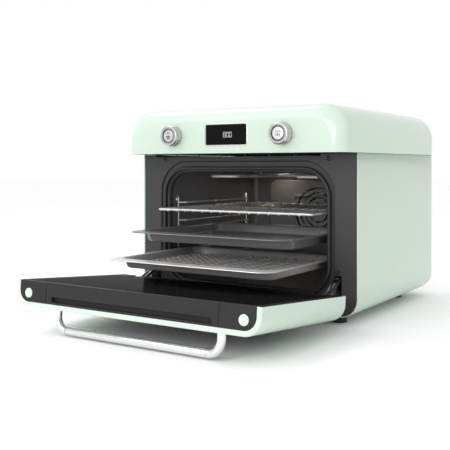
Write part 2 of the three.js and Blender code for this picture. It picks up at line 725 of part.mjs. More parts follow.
// ---------------------------------------------------------------- hinges
function hingeArm(side) {
  const eye = 3.6;
  const pivot = HINGE.y - CARRIAGE;
  const outline = [];
  for (let i = 0; i <= 6; i++) {
    const angle = THREE.MathUtils.degToRad(90 + 30 * i);
    outline.push(new THREE.Vector2(pivot + eye * Math.cos(angle), HINGE.z + eye * Math.sin(angle)));
  }
  outline.push(
    new THREE.Vector2(16, HINGE.z - eye), new THREE.Vector2(16, 80), new THREE.Vector2(-14, 80),
    new THREE.Vector2(-26, 67), new THREE.Vector2(-29, HINGE.z + eye));
  const x = side * HINGE_X;
  const plate = slabX(outline, x - 1.8, x + 1.8);
  const pin = rod([x - 8, pivot, HINGE.z], [x + 8, pivot, HINGE.z], 2.2, 10);
  return join([plate, pin]);
}

// Twin-bar link, laid along +Y from its pin at the origin.
function hingeLink() {
  const bar = (x) => slabX([
    ...new THREE.EllipseCurve(0, 0, 3, 3, Math.PI / 2, 1.5 * Math.PI).getPoints(5),
    ...new THREE.EllipseCurve(LINK_LENGTH, 0, 3, 3, 1.5 * Math.PI, 2.5 * Math.PI).getPoints(5),
  ], x - 0.9, x + 0.9);
  const pins = [0, LINK_LENGTH].map((y) => rod([-5.6, y, 0], [5.6, y, 0], 1.7, 8));
  return join([bar(-4.7), bar(4.7), ...pins]);
}

// ---------------------------------------------------------------- assembly
const oven = new THREE.Group();
oven.position.y = ORIGIN_SHIFT;

function add(parent, name, geometry, [color, roughness, metalness]) {
  const mesh = new THREE.Mesh(geometry, new THREE.MeshStandardMaterial({ color, roughness, metalness }));
  mesh.name = name;
  parent.add(mesh);
  return mesh;
}

const MINT = ['#d6e8db', 0.25, 0];
const DARK_ENAMEL = ['#4e4e4e', 0.45, 0.2];
const CAVITY_ENAMEL = ['#333233', 0.4, 0.2];
const CHROME = ['#dcdcde', 0.12, 1];
const STEEL = ['#b4b3b2', 0.35, 1];
const BLACK_GLASS = ['#151516', 0.05, 0];
const BLACK_PLASTIC = ['#404041', 0.6, 0];
const BLACK_RUBBER = ['#1d1d1d', 0.85, 0];
const WOOL = ['#d9d2b8', 0.95, 0];
const BOARD = ['#2d5a3c', 0.5, 0];
const LAMP = ['#f4d98b', 0.2, 0];

add(oven, 'outer_wrap', outerWrap(), MINT);
add(oven, 'hood', hood(), MINT);
add(oven, 'front_frame', frontFrame(), DARK_ENAMEL);
add(oven, 'door_gasket', doorGasket(), BLACK_RUBBER);
add(oven, 'cavity_liner', cavityLiner(), CAVITY_ENAMEL);
add(oven, 'insulation_blanket', insulationBlanket(), WOOL);
add(oven, 'base_plate', basePlate(), STEEL);
add(oven, 'top_chassis', topChassis(), STEEL);
add(oven, 'rear_cover', rearCover(), DARK_ENAMEL);
add(oven, 'power_inlet', powerInlet(), BLACK_RUBBER);
add(oven, 'fan_baffle', fanBaffle(), CAVITY_ENAMEL);
add(oven, 'fan_motor', fanMotor(), STEEL);
add(oven, 'fan_impeller', fanImpeller(), STEEL);
add(oven, 'ring_element', ringElement(), STEEL);
add(oven, 'grill_element', grillElement(), STEEL);
add(oven, 'lamp_lens', lampLens(), LAMP);
add(oven, 'display_bezel', displayBezel(), CHROME);
add(oven, 'display_glass', displayGlass(), BLACK_GLASS);
add(oven, 'control_board', controlBoard(), BOARD);
add(oven, 'cooling_housing', coolingHousing(), STEEL);
add(oven, 'cooling_rotor', coolingRotor(), STEEL);
add(oven, 'wire_rack', wireRack(), CHROME);
add(oven, 'enamel_tray', tray(ENAMEL_TRAY), CAVITY_ENAMEL);
add(oven, 'roasting_tray', tray(ROASTING_TRAY), STEEL);
add(oven, 'mesh_insert', meshInsert(), CHROME);

for (const [name, x, y] of [['front_left', -190, 40], ['front_right', 190, 40],
  ['rear_left', -180, 360], ['rear_right', 180, 360]]) {
  add(oven, `foot_${name}`, foot(x, y), BLACK_RUBBER);
}

// The door and what it carries turn about the hinge line into the open position, with the hinge arms
// drawn forward out of the frame.
const door = new THREE.Group();
door.position.set(0, HINGE.y - CARRIAGE, HINGE.z);
door.rotation.x = THREE.MathUtils.degToRad(DOOR_OPEN);
oven.add(door);
const closedDoor = new THREE.Group();
closedDoor.position.set(0, -HINGE.y, -HINGE.z);
door.add(closedDoor);
add(closedDoor, 'door_shell', doorShell(), MINT);
add(closedDoor, 'door_outer_glass', doorOuterGlass(), BLACK_GLASS);
add(closedDoor, 'door_inner_glass', doorInnerGlass(), BLACK_GLASS);
add(closedDoor, 'door_inner_frame', doorInnerFrame(), CAVITY_ENAMEL);
add(closedDoor, 'door_cap_centre', doorCapCentre(), BLACK_PLASTIC);
add(closedDoor, 'door_bottom_cap', doorBottomCap(), BLACK_PLASTIC);
add(closedDoor, 'handle_bar', handleBar(), CHROME);

for (const [name, side] of [['left', -1], ['right', 1]]) {
  add(closedDoor, `door_cap_${name}`, doorCapEnd(side), BLACK_PLASTIC);
  add(closedDoor, `cap_plug_${name}`, capPlug(side), MINT);
  add(closedDoor, `handle_elbow_${name}`, handleElbow(side), CHROME);
  add(oven, `hinge_arm_${name}`, hingeArm(side), STEEL);
  const link = add(oven, `hinge_link_${name}`, hingeLink(), CHROME);
  const pin = new THREE.Vector3(side * HINGE_X, LINK_PIN.y, LINK_PIN.z);
  link.position.copy(closedDoor.localToWorld(pin).sub(oven.position));
  link.rotation.x = THREE.MathUtils.degToRad(LINK_ANGLE);
  add(oven, `side_rack_${name}`, sideRack(side), STEEL);
  add(oven, `element_bracket_${name}`, elementBracket(side * 138), STEEL);
  add(oven, `frame_screw_${name}`, frameScrew(side * 188, 306), STEEL);
  add(oven, `door_bumper_${name}`, doorBumper(side * HINGE_X, BUMPER_Z), BLACK_RUBBER);
  add(oven, `encoder_${name}`, encoder(side * KNOB_X), STEEL);
  add(oven, `knob_${name}`, knob(side * KNOB_X), CHROME);
  add(oven, `knob_button_${name}`, knobButton(side * KNOB_X), CHROME);
}

export default oven;
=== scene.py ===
import json

import bpy
import numpy as np
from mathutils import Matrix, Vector


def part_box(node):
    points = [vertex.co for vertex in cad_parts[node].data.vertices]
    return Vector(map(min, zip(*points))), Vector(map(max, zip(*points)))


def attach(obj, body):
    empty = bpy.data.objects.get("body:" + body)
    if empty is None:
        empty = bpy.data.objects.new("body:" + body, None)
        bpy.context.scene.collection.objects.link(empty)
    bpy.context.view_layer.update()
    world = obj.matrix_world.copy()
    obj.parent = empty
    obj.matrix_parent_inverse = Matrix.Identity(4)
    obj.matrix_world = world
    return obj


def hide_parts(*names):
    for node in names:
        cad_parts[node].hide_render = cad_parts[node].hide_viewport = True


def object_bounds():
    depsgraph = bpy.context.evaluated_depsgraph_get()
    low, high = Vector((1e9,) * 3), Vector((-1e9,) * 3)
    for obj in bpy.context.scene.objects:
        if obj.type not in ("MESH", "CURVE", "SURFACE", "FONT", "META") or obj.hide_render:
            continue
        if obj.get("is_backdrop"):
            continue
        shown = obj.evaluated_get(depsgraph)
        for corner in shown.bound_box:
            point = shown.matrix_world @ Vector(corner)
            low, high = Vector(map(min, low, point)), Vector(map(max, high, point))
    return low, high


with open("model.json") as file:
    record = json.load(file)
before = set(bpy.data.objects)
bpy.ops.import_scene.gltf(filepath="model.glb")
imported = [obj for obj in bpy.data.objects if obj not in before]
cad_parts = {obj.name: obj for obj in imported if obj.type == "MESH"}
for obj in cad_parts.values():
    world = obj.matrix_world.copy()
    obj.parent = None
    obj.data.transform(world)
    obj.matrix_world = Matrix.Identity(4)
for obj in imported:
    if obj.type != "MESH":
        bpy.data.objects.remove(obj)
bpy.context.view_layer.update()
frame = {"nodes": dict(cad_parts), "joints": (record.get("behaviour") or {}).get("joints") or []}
nodes = frame["nodes"]

# ------------------------------------------------------------------ steel wrap
# One sheet of steel bent into the oven's floor, sides and back, deep rounded at its lower and rear
# edges, then powder coated pale mint. The back has a window for the rear cover.
MM = 0.001
FACE_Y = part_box("front_frame")[0].y / MM      # face of the front frame; shapes are laid out from it
BODY_HALF = 244.6
BODY_LOW = 16.0
BODY_REAR = 458.0
HOOD_LOW = 316.0
WRAP_TOP = HOOD_LOW - 0.4
BODY_CORNER = 35.0
REAR_ROUND = 45.0
ARC = 14                                      # steps round a quarter of a visible rounding
REAR_WINDOW = (-172, 172, 88, 296)
SHARP = np.radians(35)                        # an edge that bends by more is shaded as an edge


def rounded(x0, x1, y0, y1, radii, steps=ARC):
    """Rounded rectangle as points, counter-clockwise from its right side: at each corner, the centre
    of the corner plus its radius times the cosine and sine of a quarter turn."""
    turn = np.linspace(0, np.pi / 2, steps + 1)
    radii = np.maximum(np.broadcast_to(radii, 4), 0.05)
    corners = []
    for k, (sx, sy) in enumerate(((1, 1), (-1, 1), (-1, -1), (1, -1))):
        angle = turn + k * np.pi / 2
        cx = (x1 if sx > 0 else x0) - sx * radii[k]
        cy = (y1 if sy > 0 else y0) - sy * radii[k]
        corners.append(np.column_stack((cx + radii[k] * np.cos(angle), cy + radii[k] * np.sin(angle))))
    return np.vstack(corners)


def upright(outline, y):
    """An outline in X and Z, stood up at one depth y."""
    return np.column_stack((outline[:, 0], np.full(len(outline), float(y)), outline[:, 1]))


def quads(rows, columns, wrap_rows, wrap_columns):
    """Corner numbers of the quads of a grid; the wrapped directions join their last line to the first."""
    i = np.arange(rows if wrap_rows else rows - 1)[:, None]
    j = np.arange(columns if wrap_columns else columns - 1)[None, :]
    i2, j2 = (i + 1) % rows, (j + 1) % columns
    corners = (i * columns + j, i * columns + j2, i2 * columns + j2, i2 * columns + j)
    return np.stack(np.broadcast_arrays(*corners), -1).reshape(-1, 4)


def outflow(points, faces):
    """Sum over the faces of centre times area vector, measured from the middle of the points: it is
    positive where the faces look outwards."""
    p = (points - points.mean(0))[faces]
    area = np.cross(p[:, 2] - p[:, 0], p[:, 3] - p[:, 1])
    return float((p.mean(1) * area).sum())


def piece(name, grids, body, replaced=()):
    """A mesh through grids of points in millimetres from the frame's face. A grid is an array of rows
    by columns by 3, and the letters of what it closes: r rows, c columns, s and e caps at its ends."""
    points, faces, start = [], [], 0
    for grid, closes in grids:
        rows, columns = grid.shape[:2]
        flat = grid.reshape(-1, 3)
        found = quads(rows, columns, "r" in closes, "c" in closes)
        caps = []
        if "s" in closes:
            caps.append(list(range(columns))[::-1])
        if "e" in closes:
            caps.append(list(range((rows - 1) * columns, rows * columns)))
        if outflow(flat, found) < 0:
            found = found[:, ::-1]
            caps = [cap[::-1] for cap in caps]
        faces += (found + start).tolist() + [[k + start for k in cap] for cap in caps]
        points.append(flat)
        start += len(flat)
    points = np.vstack(points) + (0, FACE_Y, 0)
    mesh = bpy.data.meshes.new(name)
    mesh.from_pydata((points * MM).tolist(), [], faces)
    mesh.shade_smooth()
    mesh.set_sharp_from_angle(angle=SHARP)
    made = bpy.data.objects.new(name, mesh)
    bpy.context.scene.collection.objects.link(made)
    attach(made, body)
    if replaced:
        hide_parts(*replaced)
    return made


def thicken(made, thickness, offset=-1.0):
    """Gives a sheet its thickness in millimetres."""
    solid = made.modifiers.new("sheet", "SOLIDIFY")
    solid.thickness = thickness * MM
    solid.offset = offset
    return made


def break_edges(made, width):
    """Breaks a piece's edges with a small bevel of a width in millimetres."""
    bevel = made.modifiers.new("edge", "BEVEL")
    bevel.width = width * MM
    bevel.segments = 2
    bevel.limit_method = "ANGLE"
    bevel.angle_limit = np.radians(50)
    return made


def srgb(code):
    """Linear colour of an sRGB hex code."""
    value = np.array([int(code[i:i + 2], 16) for i in (1, 3, 5)]) / 255
    linear = np.where(value <= 0.04045, value / 12.92, ((value + 0.055) / 1.055) ** 2.4)
    return (*linear.tolist(), 1.0)


def add_node(tree, kind, values=None, links=None, **settings):
    """Adds a shader node: settings on the node, values on its sockets, links from other sockets."""
    node = tree.nodes.new(kind)
    for key, value in settings.items():
        setattr(node, key, value)
    for socket, value in (values or {}).items():
        node.inputs[socket].default_value = value
    for socket, source in (links or {}).items():
        tree.links.new(source, node.inputs[socket])
    return node


def finish_of(name, colour, roughness, **values):
    """A material with its main shader set, and the Object coordinates its patterns start from."""
    material = bpy.data.materials.new(name)
    material.use_nodes = True
    tree = material.node_tree
    shader = tree.nodes["Principled BSDF"]
    shader.inputs["Base Color"].default_value = srgb(colour)
    shader.inputs["Roughness"].default_value = roughness
    for socket, value in values.items():
        shader.inputs[socket.replace("_", " ")].default_value = value
    place = add_node(tree, "ShaderNodeTexCoord").outputs["Object"]
    return material, tree, shader, place


def mottled(tree, shader, place, dark, light, size, detail=3.0):
    """Colour that wanders between two shades over patches of a size in millimetres."""
    noise = add_node(tree, "ShaderNodeTexNoise", {"Scale": 1000 / size, "Detail": detail},
                     {"Vector": place})
    mix = add_node(tree, "ShaderNodeMix", {6: srgb(dark), 7: srgb(light)}, {0: noise.outputs["Fac"]},
                   data_type="RGBA")
    tree.links.new(mix.outputs[2], shader.inputs["Base Color"])


def rubbed(tree, shader, place, low, high, size):
    """Roughness that wanders between two values over patches of a size in millimetres."""
    noise = add_node(tree, "ShaderNodeTexNoise", {"Scale": 1000 / size, "Detail": 4.0}, {"Vector": place})
    spread = add_node(tree, "ShaderNodeMapRange", {"From Min": 0.3, "From Max": 0.7, "To Min": low,
                      "To Max": high}, {"Value": noise.outputs["Fac"]})
    tree.links.new(spread.outputs["Result"], shader.inputs["Roughness"])


def grained(tree, shader, place, size, height, detail=2.0, stretch=(1, 1, 1)):
    """Bumps of a size and a height in millimetres, drawn out along an axis where stretch is small."""
    turned = add_node(tree, "ShaderNodeMapping", {"Scale": stretch}, {"Vector": place})
    noise = add_node(tree, "ShaderNodeTexNoise", {"Scale": 1000 / size, "Detail": detail},
                     {"Vector": turned.outputs["Vector"]})
    bump = add_node(tree, "ShaderNodeBump", {"Strength": 1.0, "Distance": height * MM},
                    {"Height": noise.outputs["Fac"]})
    tree.links.new(bump.outputs["Normal"], shader.inputs["Normal"])


# Gloss powder coat on steel: an even pale mint with a faint orange peel about 3 mm across.
mint_coat, tree, shader, place = finish_of("mint_powder_coat", "#BFD0C3", 0.22, Specular_IOR_Level=0.4,
                                           Coat_Weight=0.2, Coat_Roughness=0.05)
mottled(tree, shader, place, "#BDCFC1", "#C2D3C6", 60)
rubbed(tree, shader, place, 0.17, 0.25, 35)
grained(tree, shader, place, 3.0, 0.012)


def paint(made, material):
    """Puts one material on the whole of a piece or CAD node."""
    made.data.materials.clear()
    made.data.materials.append(material)
    return made


def rounding(radius, steps=ARC):
    """Set-in and travel of a quarter round: radius less its cosine, and radius times its sine."""
    angle = np.linspace(0, np.pi / 2, steps + 1)
    return np.column_stack((radius * (1 - np.cos(angle)), radius * np.sin(angle)))


def wrap_section(inset, y):
    """The U of the wrap at a depth, all of it set in by one amount."""
    half = BODY_HALF - inset
    corner = BODY_CORNER - 0.3 * inset
    arcs = rounded(-half, half, BODY_LOW + inset, 400, (1, 1, corner, corner))
    lower = arcs[len(arcs) // 2:]
    return upright(np.vstack(((-half, WRAP_TOP), lower, (half, WRAP_TOP))), y)


rear = rounding(REAR_ROUND)
rows = [wrap_section(0, y) for y in (0, 3, 200, BODY_REAR - REAR_ROUND)]
rows += [wrap_section(inset, BODY_REAR - REAR_ROUND + travel) for inset, travel in rear[1:]]
edge_inset = REAR_ROUND + 2
rows.append(wrap_section(edge_inset, BODY_REAR))
edge = BODY_HALF - edge_inset
edge_corner = BODY_CORNER - 0.3 * edge_inset
back_loops = [
    upright(rounded(-edge, edge, BODY_LOW + edge_inset, WRAP_TOP,
                    (0.05, 0.05, edge_corner, edge_corner)), BODY_REAR),
    upright(rounded(*REAR_WINDOW, 14), BODY_REAR),
    upright(rounded(*np.add(REAR_WINDOW, (1.4, -1.4, 1.4, -1.4)), 12.6), BODY_REAR - 0.5),
    upright(rounded(*np.add(REAR_WINDOW, (1.8, -1.8, 1.8, -1.8)), 12.2), BODY_REAR - 1.8),
]
casing_wrap = piece("casing_wrap", [(np.stack(rows), "")], "cabinet", ["outer_wrap"])
paint(thicken(casing_wrap, 1.6), mint_coat)
casing_back = piece("casing_back", [(np.stack(back_loops), "c")], "cabinet")
paint(casing_back, mint_coat)

# Pressed steel cover over the rear window, dark enamelled like the frame, with its louvres.
frame_grey, tree, shader, place = finish_of("satin_grey_enamel", "#3A3A3B", 0.42, Specular_IOR_Level=0.25)
mottled(tree, shader, place, "#38383A", "#3D3D3E", 40)
rubbed(tree, shader, place, 0.38, 0.48, 25)
grained(tree, shader, place, 1.2, 0.02)
paint(nodes["rear_cover"], frame_grey)

# ------------------------------------------------------------------ power inlet and feet
# Moulded rubber gland where the mains lead enters, and four soft rubber feet screwed to the floor.
black_rubber, tree, shader, place = finish_of("moulded_black_rubber", "#1C1C1D", 0.75)
mottled(tree, shader, place, "#191919", "#202021", 12)
grained(tree, shader, place, 0.8, 0.03)


def turned(profile, centre, axis="y", steps=40):
    """A lathe: radius and distance along the axis, carried round it in equal steps."""
    angle = np.linspace(0, 2 * np.pi, steps, endpoint=False)
    radius, along = np.asarray(profile, float).T[:, :, None]
    across, up = radius * np.cos(angle), radius * np.sin(angle)
    along = np.broadcast_to(along, across.shape)
    order = {"y": (across, along, up), "z": (across, up, along), "x": (along, across, up)}[axis]
    return np.stack(order, -1) + centre


inlet_y = BODY_REAR - 8.4
inlet = [(0.1, 0), (15, 0), (15, 4), (10.4, 4), (10.4, 9), (9.4, 9.4), (9.4, 10.6), (10.2, 11), (10, 15.5),
         (8.4, 18), (6, 18.9), (4.1, 19), (4.0, 15), (0.1, 15)]
power_gland = piece("power_gland", [(turned(inlet, (0, inlet_y, 112)), "cse")], "cabinet",
                    ["power_inlet"])
paint(power_gland, black_rubber)

foot_profile = [(0.1, 0.6), (8, 0.6), (9, 0), (13, 0), (14.4, 0.5), (15, 2), (15, 11), (14.2, 14),
                (13, 15.6), (0.1, 15.6)]
for foot in ("foot_front_left", "foot_front_right", "foot_rear_left", "foot_rear_right"):
    low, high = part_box(foot)
    middle = (low + high) / 2 / MM
    made = piece("rubber_" + foot, [(turned(foot_profile, (middle.x, middle.y - FACE_Y, 0), "z"), "cse")],
                 "cabinet", [foot])
    paint(made, black_rubber)

# ------------------------------------------------------------------ hood
# One deep-drawn cover that overhangs the front and carries the controls. It is the same powder coat
# as the wrap, with a wide soft rounding along the top and a plain lower edge.
HOOD_HALF = 246.4
HOOD_HALF_REAR = 245.2
HOOD_FRONT = -57.0
HOOD_TOP = 404.0
HOOD_ROUND = 50.0
HOOD_CORNER = 28.0


def hood_section(inset, y):
    """The hood's arch at a depth, all of it set in by one amount; the hood is a little narrower at
    the back."""
    half = HOOD_HALF - (HOOD_HALF - HOOD_HALF_REAR) * (y - HOOD_FRONT) / (BODY_REAR - HOOD_FRONT) - inset
    radius = HOOD_ROUND - 0.3 * inset
    arcs = rounded(-half, half, 0, HOOD_TOP - inset, (radius, radius, 1, 1))
    upper = arcs[:len(arcs) // 2]
    return upright(np.vstack(((half, HOOD_LOW), upper, (-half, HOOD_LOW))), y)


rows = [hood_section(HOOD_CORNER + 1.5, HOOD_FRONT)]
rows += [hood_section(HOOD_CORNER - travel, HOOD_FRONT + inset) for inset, travel in rounding(HOOD_CORNER)]
rows += [hood_section(0, y) for y in (HOOD_FRONT + HOOD_CORNER + 2, 150, BODY_REAR - REAR_ROUND)]
rows += [hood_section(inset, BODY_REAR - REAR_ROUND + travel) for inset, travel in rear[1:]]
rows.append(hood_section(REAR_ROUND + 1.5, BODY_REAR))
hood_cover = piece("hood_cover", [(np.stack(rows), "se")], "cabinet", ["hood"])
paint(break_edges(thicken(hood_cover, 2.2), 0.5), mint_coat)

# ------------------------------------------------------------------ front frame
# Enamelled steel frame round the cavity mouth. A soft-edged recess seats the door seal, the throat
# runs back to the cavity, and slots above it let the cooling air out under the hood.
THROAT = (-181, 181, 59, 280, 48.0)
GROOVE = (-198, 198, 38, 301, 64.0)
RECESS = 5.0


def ring_row(frame_of, grow, y):
    """The outline of a mouth, grown outwards by an amount, at a depth."""
    x0, x1, z0, z1, radius = frame_of
    return upright(rounded(x0 - grow, x1 + grow, z0 - grow, z1 + grow, np.add(radius, grow)), y)


face_of_frame = (-241.4, 241.4, 18.4, 315.2, np.array((2, 2, 33, 33)))
quarter = np.linspace(0, np.pi / 2, 7)
rows = [ring_row(face_of_frame, 0, 2), ring_row(face_of_frame, 0, 0.5), ring_row(face_of_frame, -0.5, 0)]
rows += [ring_row(GROOVE, 6, 0)]
rows += [ring_row(GROOVE, 3 - 3 * np.sin(a), 3 - 3 * np.cos(a)) for a in quarter]
rows += [ring_row(GROOVE, -2 + 2 * np.cos(a), 3 + 2 * np.sin(a)) for a in quarter[1:]]
rows += [ring_row(THROAT, 4 - 4 * np.sin(a), RECESS + 4 - 4 * np.cos(a)) for a in quarter]
rows += [ring_row(THROAT, 0, 17), ring_row(THROAT, 1.6, 17), ring_row(THROAT, 1.6, 11),
         ring_row(GROOVE, 1.4, 6.4), ring_row(GROOVE, 1.4, 2)]
mouth_frame = piece("mouth_frame", [(np.stack(rows), "rc")], "cabinet", ["front_frame"])
paint(mouth_frame, frame_grey)


def block(x0, x1, y0, y1, z0, z1, corner=0.0, steps=3):
    """A bar along Y with rounded long edges: one outline at two depths, closed at both."""
    outline = rounded(x0, x1, z0, z1, corner, steps)
    return np.stack((upright(outline, y0), upright(outline, y1))), "cse"


def cut_out(made, grids):
    """Takes shapes out of a piece, applies the cut, and splits the shading at the new edges."""
    tool = piece("cutter", grids, "cabinet")
    cut = made.modifiers.new("cut", "BOOLEAN")
    cut.object = tool
    cut.operation = "DIFFERENCE"
    cut.solver = "EXACT"
    graph = bpy.context.evaluated_depsgraph_get()
    result = bpy.data.meshes.new_from_object(made.evaluated_get(graph))
    made.modifiers.clear()
    made.data = result
    result.set_sharp_from_angle(angle=np.radians(30))
    bpy.data.objects.remove(tool)
    return made


VENT_PITCH, VENT_HALF, VENT_MIDDLE = 55.0, 26.3, -20
HINGE_SLOT_X, HINGE_SLOT_HALF = 206.25, 7.25
BUMPER_X, BUMPER_Z = 206, 98.5
SCREW_X, SCREW_Z = 188, 306
holes = [block(x - VENT_HALF, x + VENT_HALF, -2, 9, 310.6, 314.6, 0.5)
         for x in (VENT_MIDDLE + (i - 3) * VENT_PITCH for i in range(7))]
for side in (-1, 1):
    x = side * HINGE_SLOT_X
    holes.append(block(x - HINGE_SLOT_HALF, x + HINGE_SLOT_HALF, -2, 9, 20.5, 91.8, 3))
    for at_x, at_z in ((BUMPER_X, BUMPER_Z), (SCREW_X, SCREW_Z)):
        holes.append((turned([(4, -2), (4, 9)], (side * at_x, 0, at_z), steps=24), "cse"))
cut_out(mouth_frame, holes)

# ------------------------------------------------------------------ door seal
# Silicone seal that stands in the frame's recess and meets the door's inner glass.


def carried(path, flat, section, closed=False):
    """A section carried along a path: each point is the path's point plus the section's two
    measures along the flat direction and along the direction square to flat and path."""
    path = np.asarray(path, float)
    if closed:
        along = np.roll(path, -1, 0) - np.roll(path, 1, 0)
    else:
        along = np.gradient(path, axis=0)
    along = along / np.linalg.norm(along, axis=1, keepdims=True)
    first = np.asarray(flat, float) - (along @ np.asarray(flat, float))[:, None] * along
    first = first / np.linalg.norm(first, axis=1, keepdims=True)
    second = np.cross(along, first)
    return (path[:, None, :] + section[None, :, :1] * first[:, None, :]
            + section[None, :, 1:] * second[:, None, :])


def circle(radius, sides=12):
    """Points of a circle in two measures."""
    angle = np.linspace(0, 2 * np.pi, sides, endpoint=False)
    return np.column_stack((radius * np.cos(angle), radius * np.sin(angle)))


seal_path = ring_row(THROAT, 7.2, 0.4)
door_seal = piece("door_seal", [(carried(seal_path, (0, 1, 0), circle(3.3, 14) * (1.25, 1.0), True), "rc")],
                  "cabinet", ["door_gasket"])
silicone, tree, shader, place = finish_of("silicone_seal", "#222224", 0.55)
mottled(tree, shader, place, "#1F1F21", "#262628", 9)
grained(tree, shader, place, 1.5, 0.02)
paint(door_seal, silicone)

# ------------------------------------------------------------------ frame screws and door bumpers
# Blackened steel screws sunk in the frame's upper corners, and a ball-ended rubber bumper over each hinge.
plated, tree, shader, place = finish_of("zinc_plated_steel", "#B9B8B6", 0.32, Metallic=1.0)
mottled(tree, shader, place, "#A9A8A5", "#C4C3C1", 8)
rubbed(tree, shader, place, 0.26, 0.42, 6)
dark_screw, tree, shader, place = finish_of("blackened_steel", "#1C1C1D", 0.34, Metallic=0.4)
rubbed(tree, shader, place, 0.3, 0.5, 3)
mottled(tree, shader, place, "#18181A", "#232324", 2)
screw_profile = [(0.1, 6), (3.2, 6), (3.2, 0.1), (4.9, 0.0), (5.0, -0.5), (4.6, -0.9), (3.4, -1.0),
                 (2.6, -1.4), (1.5, -1.6), (1.3, -0.4), (0.1, -0.4)]
bumper_profile = [(0.1, 5), (3.4, 5), (3.4, -1.2), (3.7, -2.2), (3.8, -3.2), (3.5, -4.6), (2.8, -5.6),
                  (1.8, -6.3), (0.8, -6.6), (0.1, -6.6)]
for name, side in (("left", -1), ("right", 1)):
    lathed = turned(screw_profile, (side * SCREW_X, 0, SCREW_Z), steps=24)
    screw = piece("screw_" + name, [(lathed, "cse")], "cabinet", ["frame_screw_" + name])
    paint(screw, dark_screw)
    lathed = turned(bumper_profile, (side * BUMPER_X, 0, BUMPER_Z), steps=24)
    bumper = piece("bumper_" + name, [(lathed, "cse")], "cabinet", ["door_bumper_" + name])
    paint(bumper, black_rubber)

# ------------------------------------------------------------------ cavity liner
# Deep-drawn steel box, fired with a glossy charcoal enamel that carries fine pale flecks.
LINER = (-193, 193, 54, 288, 25.0)
LINER_REAR = 372.0
cavity_enamel, tree, shader, place = finish_of("flecked_cavity_enamel", "#727071", 0.35, Coat_Weight=0.15,
                                               Coat_Roughness=0.2)
fleck = add_node(tree, "ShaderNodeTexVoronoi", {"Scale": 1000 / 4.0}, {"Vector": place})
spot = add_node(tree, "ShaderNodeMapRange",
                {"From Min": 0.06, "From Max": 0.12, "To Min": 1.0, "To Max": 0.0},
                {"Value": fleck.outputs["Distance"]})
mix = add_node(tree, "ShaderNodeMix", {6: srgb("#727071"), 7: srgb("#928F8F")}, {0: spot.outputs["Result"]},
               data_type="RGBA")
tree.links.new(mix.outputs[2], shader.inputs["Base Color"])
rubbed(tree, shader, place, 0.32, 0.38, 30)
grained(tree, shader, place, 5.0, 0.006)
turn = rounding(14.0, 8)
rows = [ring_row(LINER, 0, y) for y in (7.4, 30, 190, LINER_REAR - 14)]
rows += [ring_row(LINER, -inset, LINER_REAR - 14 + travel) for inset, travel in turn[1:]]
rows.append(ring_row(LINER, -15, LINER_REAR))
cavity = piece("cavity_box", [(np.stack(rows), "ce")], "cabinet", ["cavity_liner"])
paint(thicken(cavity, 1.4, 1.0), cavity_enamel)

# Mineral wool round the cavity, plain steel plates under and over it: hidden once the oven is shut up.
wool, tree, shader, place = finish_of("mineral_wool", "#CFC5A2", 0.95, Sheen_Weight=0.3)
mottled(tree, shader, place, "#C2B88F", "#DAD2B4", 6)
grained(tree, shader, place, 2.0, 0.4, 4.0)
paint(nodes["insulation_blanket"], wool)
for name in ("base_plate", "top_chassis", "fan_motor", "cooling_housing", "cooling_rotor", "encoder_left",
             "encoder_right"):
    paint(nodes[name], plated)
# Circuit board under green solder mask.
board, tree, shader, place = finish_of("solder_masked_board", "#24513A", 0.35)
mottled(tree, shader, place, "#1F4733", "#2C5F45", 5)
paint(nodes["control_board"], board)

# ------------------------------------------------------------------ fan baffle
# Pressed pan over the convection fan, with soft edges, a raised ring and curved slots in the middle.
FAN_Z = 182.0
BAFFLE_Y = 345.0
PAN = (-134, 134, 62, 262, 22.0)
turn = rounding(7.0, 6)
rows = [ring_row(PAN, 0, LINER_REAR - 0.6)] + [ring_row(PAN, travel - 7, BAFFLE_Y + inset)
                                               for inset, travel in turn[::-1]]
rim = ring_row(PAN, -9, BAFFLE_Y)
rows.append(rim)


def onto_circle(loop, radius, y):
    """Moves each point of a loop straight towards the fan's axis, onto a circle about it."""
    away = loop[:, (0, 2)] - (0, FAN_Z)
    away = away / np.linalg.norm(away, axis=1, keepdims=True) * radius
    return upright(away + (0, FAN_Z), y)


for radius, y in ((78, 0), (76, -0.6), (74, -2.0), (71, -2.4), (68, -2.0), (66, -0.6), (64, 0), (30, 0),
                  (6, 0)):
    rows.append(onto_circle(rim, radius, BAFFLE_Y + y))
baffle = piece("fan_cover", [(np.stack(rows), "ce")], "cabinet", ["fan_baffle"])
thicken(baffle, 1.2, -1.0)
slots = []
for inner, outer, count in ((20, 24.5, 3), (32, 36.5, 4), (44, 48.5, 5), (56, 60, 6)):
    for i in range(count):
        start = 2 * np.pi * i / count + 0.12
        sweep = np.linspace(start, start + 2 * np.pi / count - 5.5 / inner, 10)
        arc = np.concatenate([np.column_stack((r * np.cos(a), r * np.sin(a) + FAN_Z))
                              for r, a in ((outer, sweep), (inner, sweep[::-1]))])
        slots.append((np.stack((upright(arc, BAFFLE_Y - 4), upright(arc, BAFFLE_Y + 5))), "cse"))
paint(cut_out(baffle, slots), cavity_enamel)
# Aluminised sheet: the fan wheel and the straps of the heating tube.
steel_blade, tree, shader, place = finish_of("aluminised_sheet", "#8E8C8A", 0.4, Metallic=1.0)
rubbed(tree, shader, place, 0.34, 0.5, 10)
mottled(tree, shader, place, "#83817F", "#9A9896", 12)
paint(nodes["fan_impeller"], steel_blade)

# ------------------------------------------------------------------ heating tubes and lamp
# Pale stainless-sheathed heating tubes on straps, and the lamp's ribbed lens, which glows downwards.
sheath, tree, shader, place = finish_of("heat_tinted_sheath", "#EDEBE8", 0.3, Metallic=0.4)
mottled(tree, shader, place, "#E6E3DD", "#F3F2F0", 25)
rubbed(tree, shader, place, 0.26, 0.38, 12)
GRILL_Z = 270.0


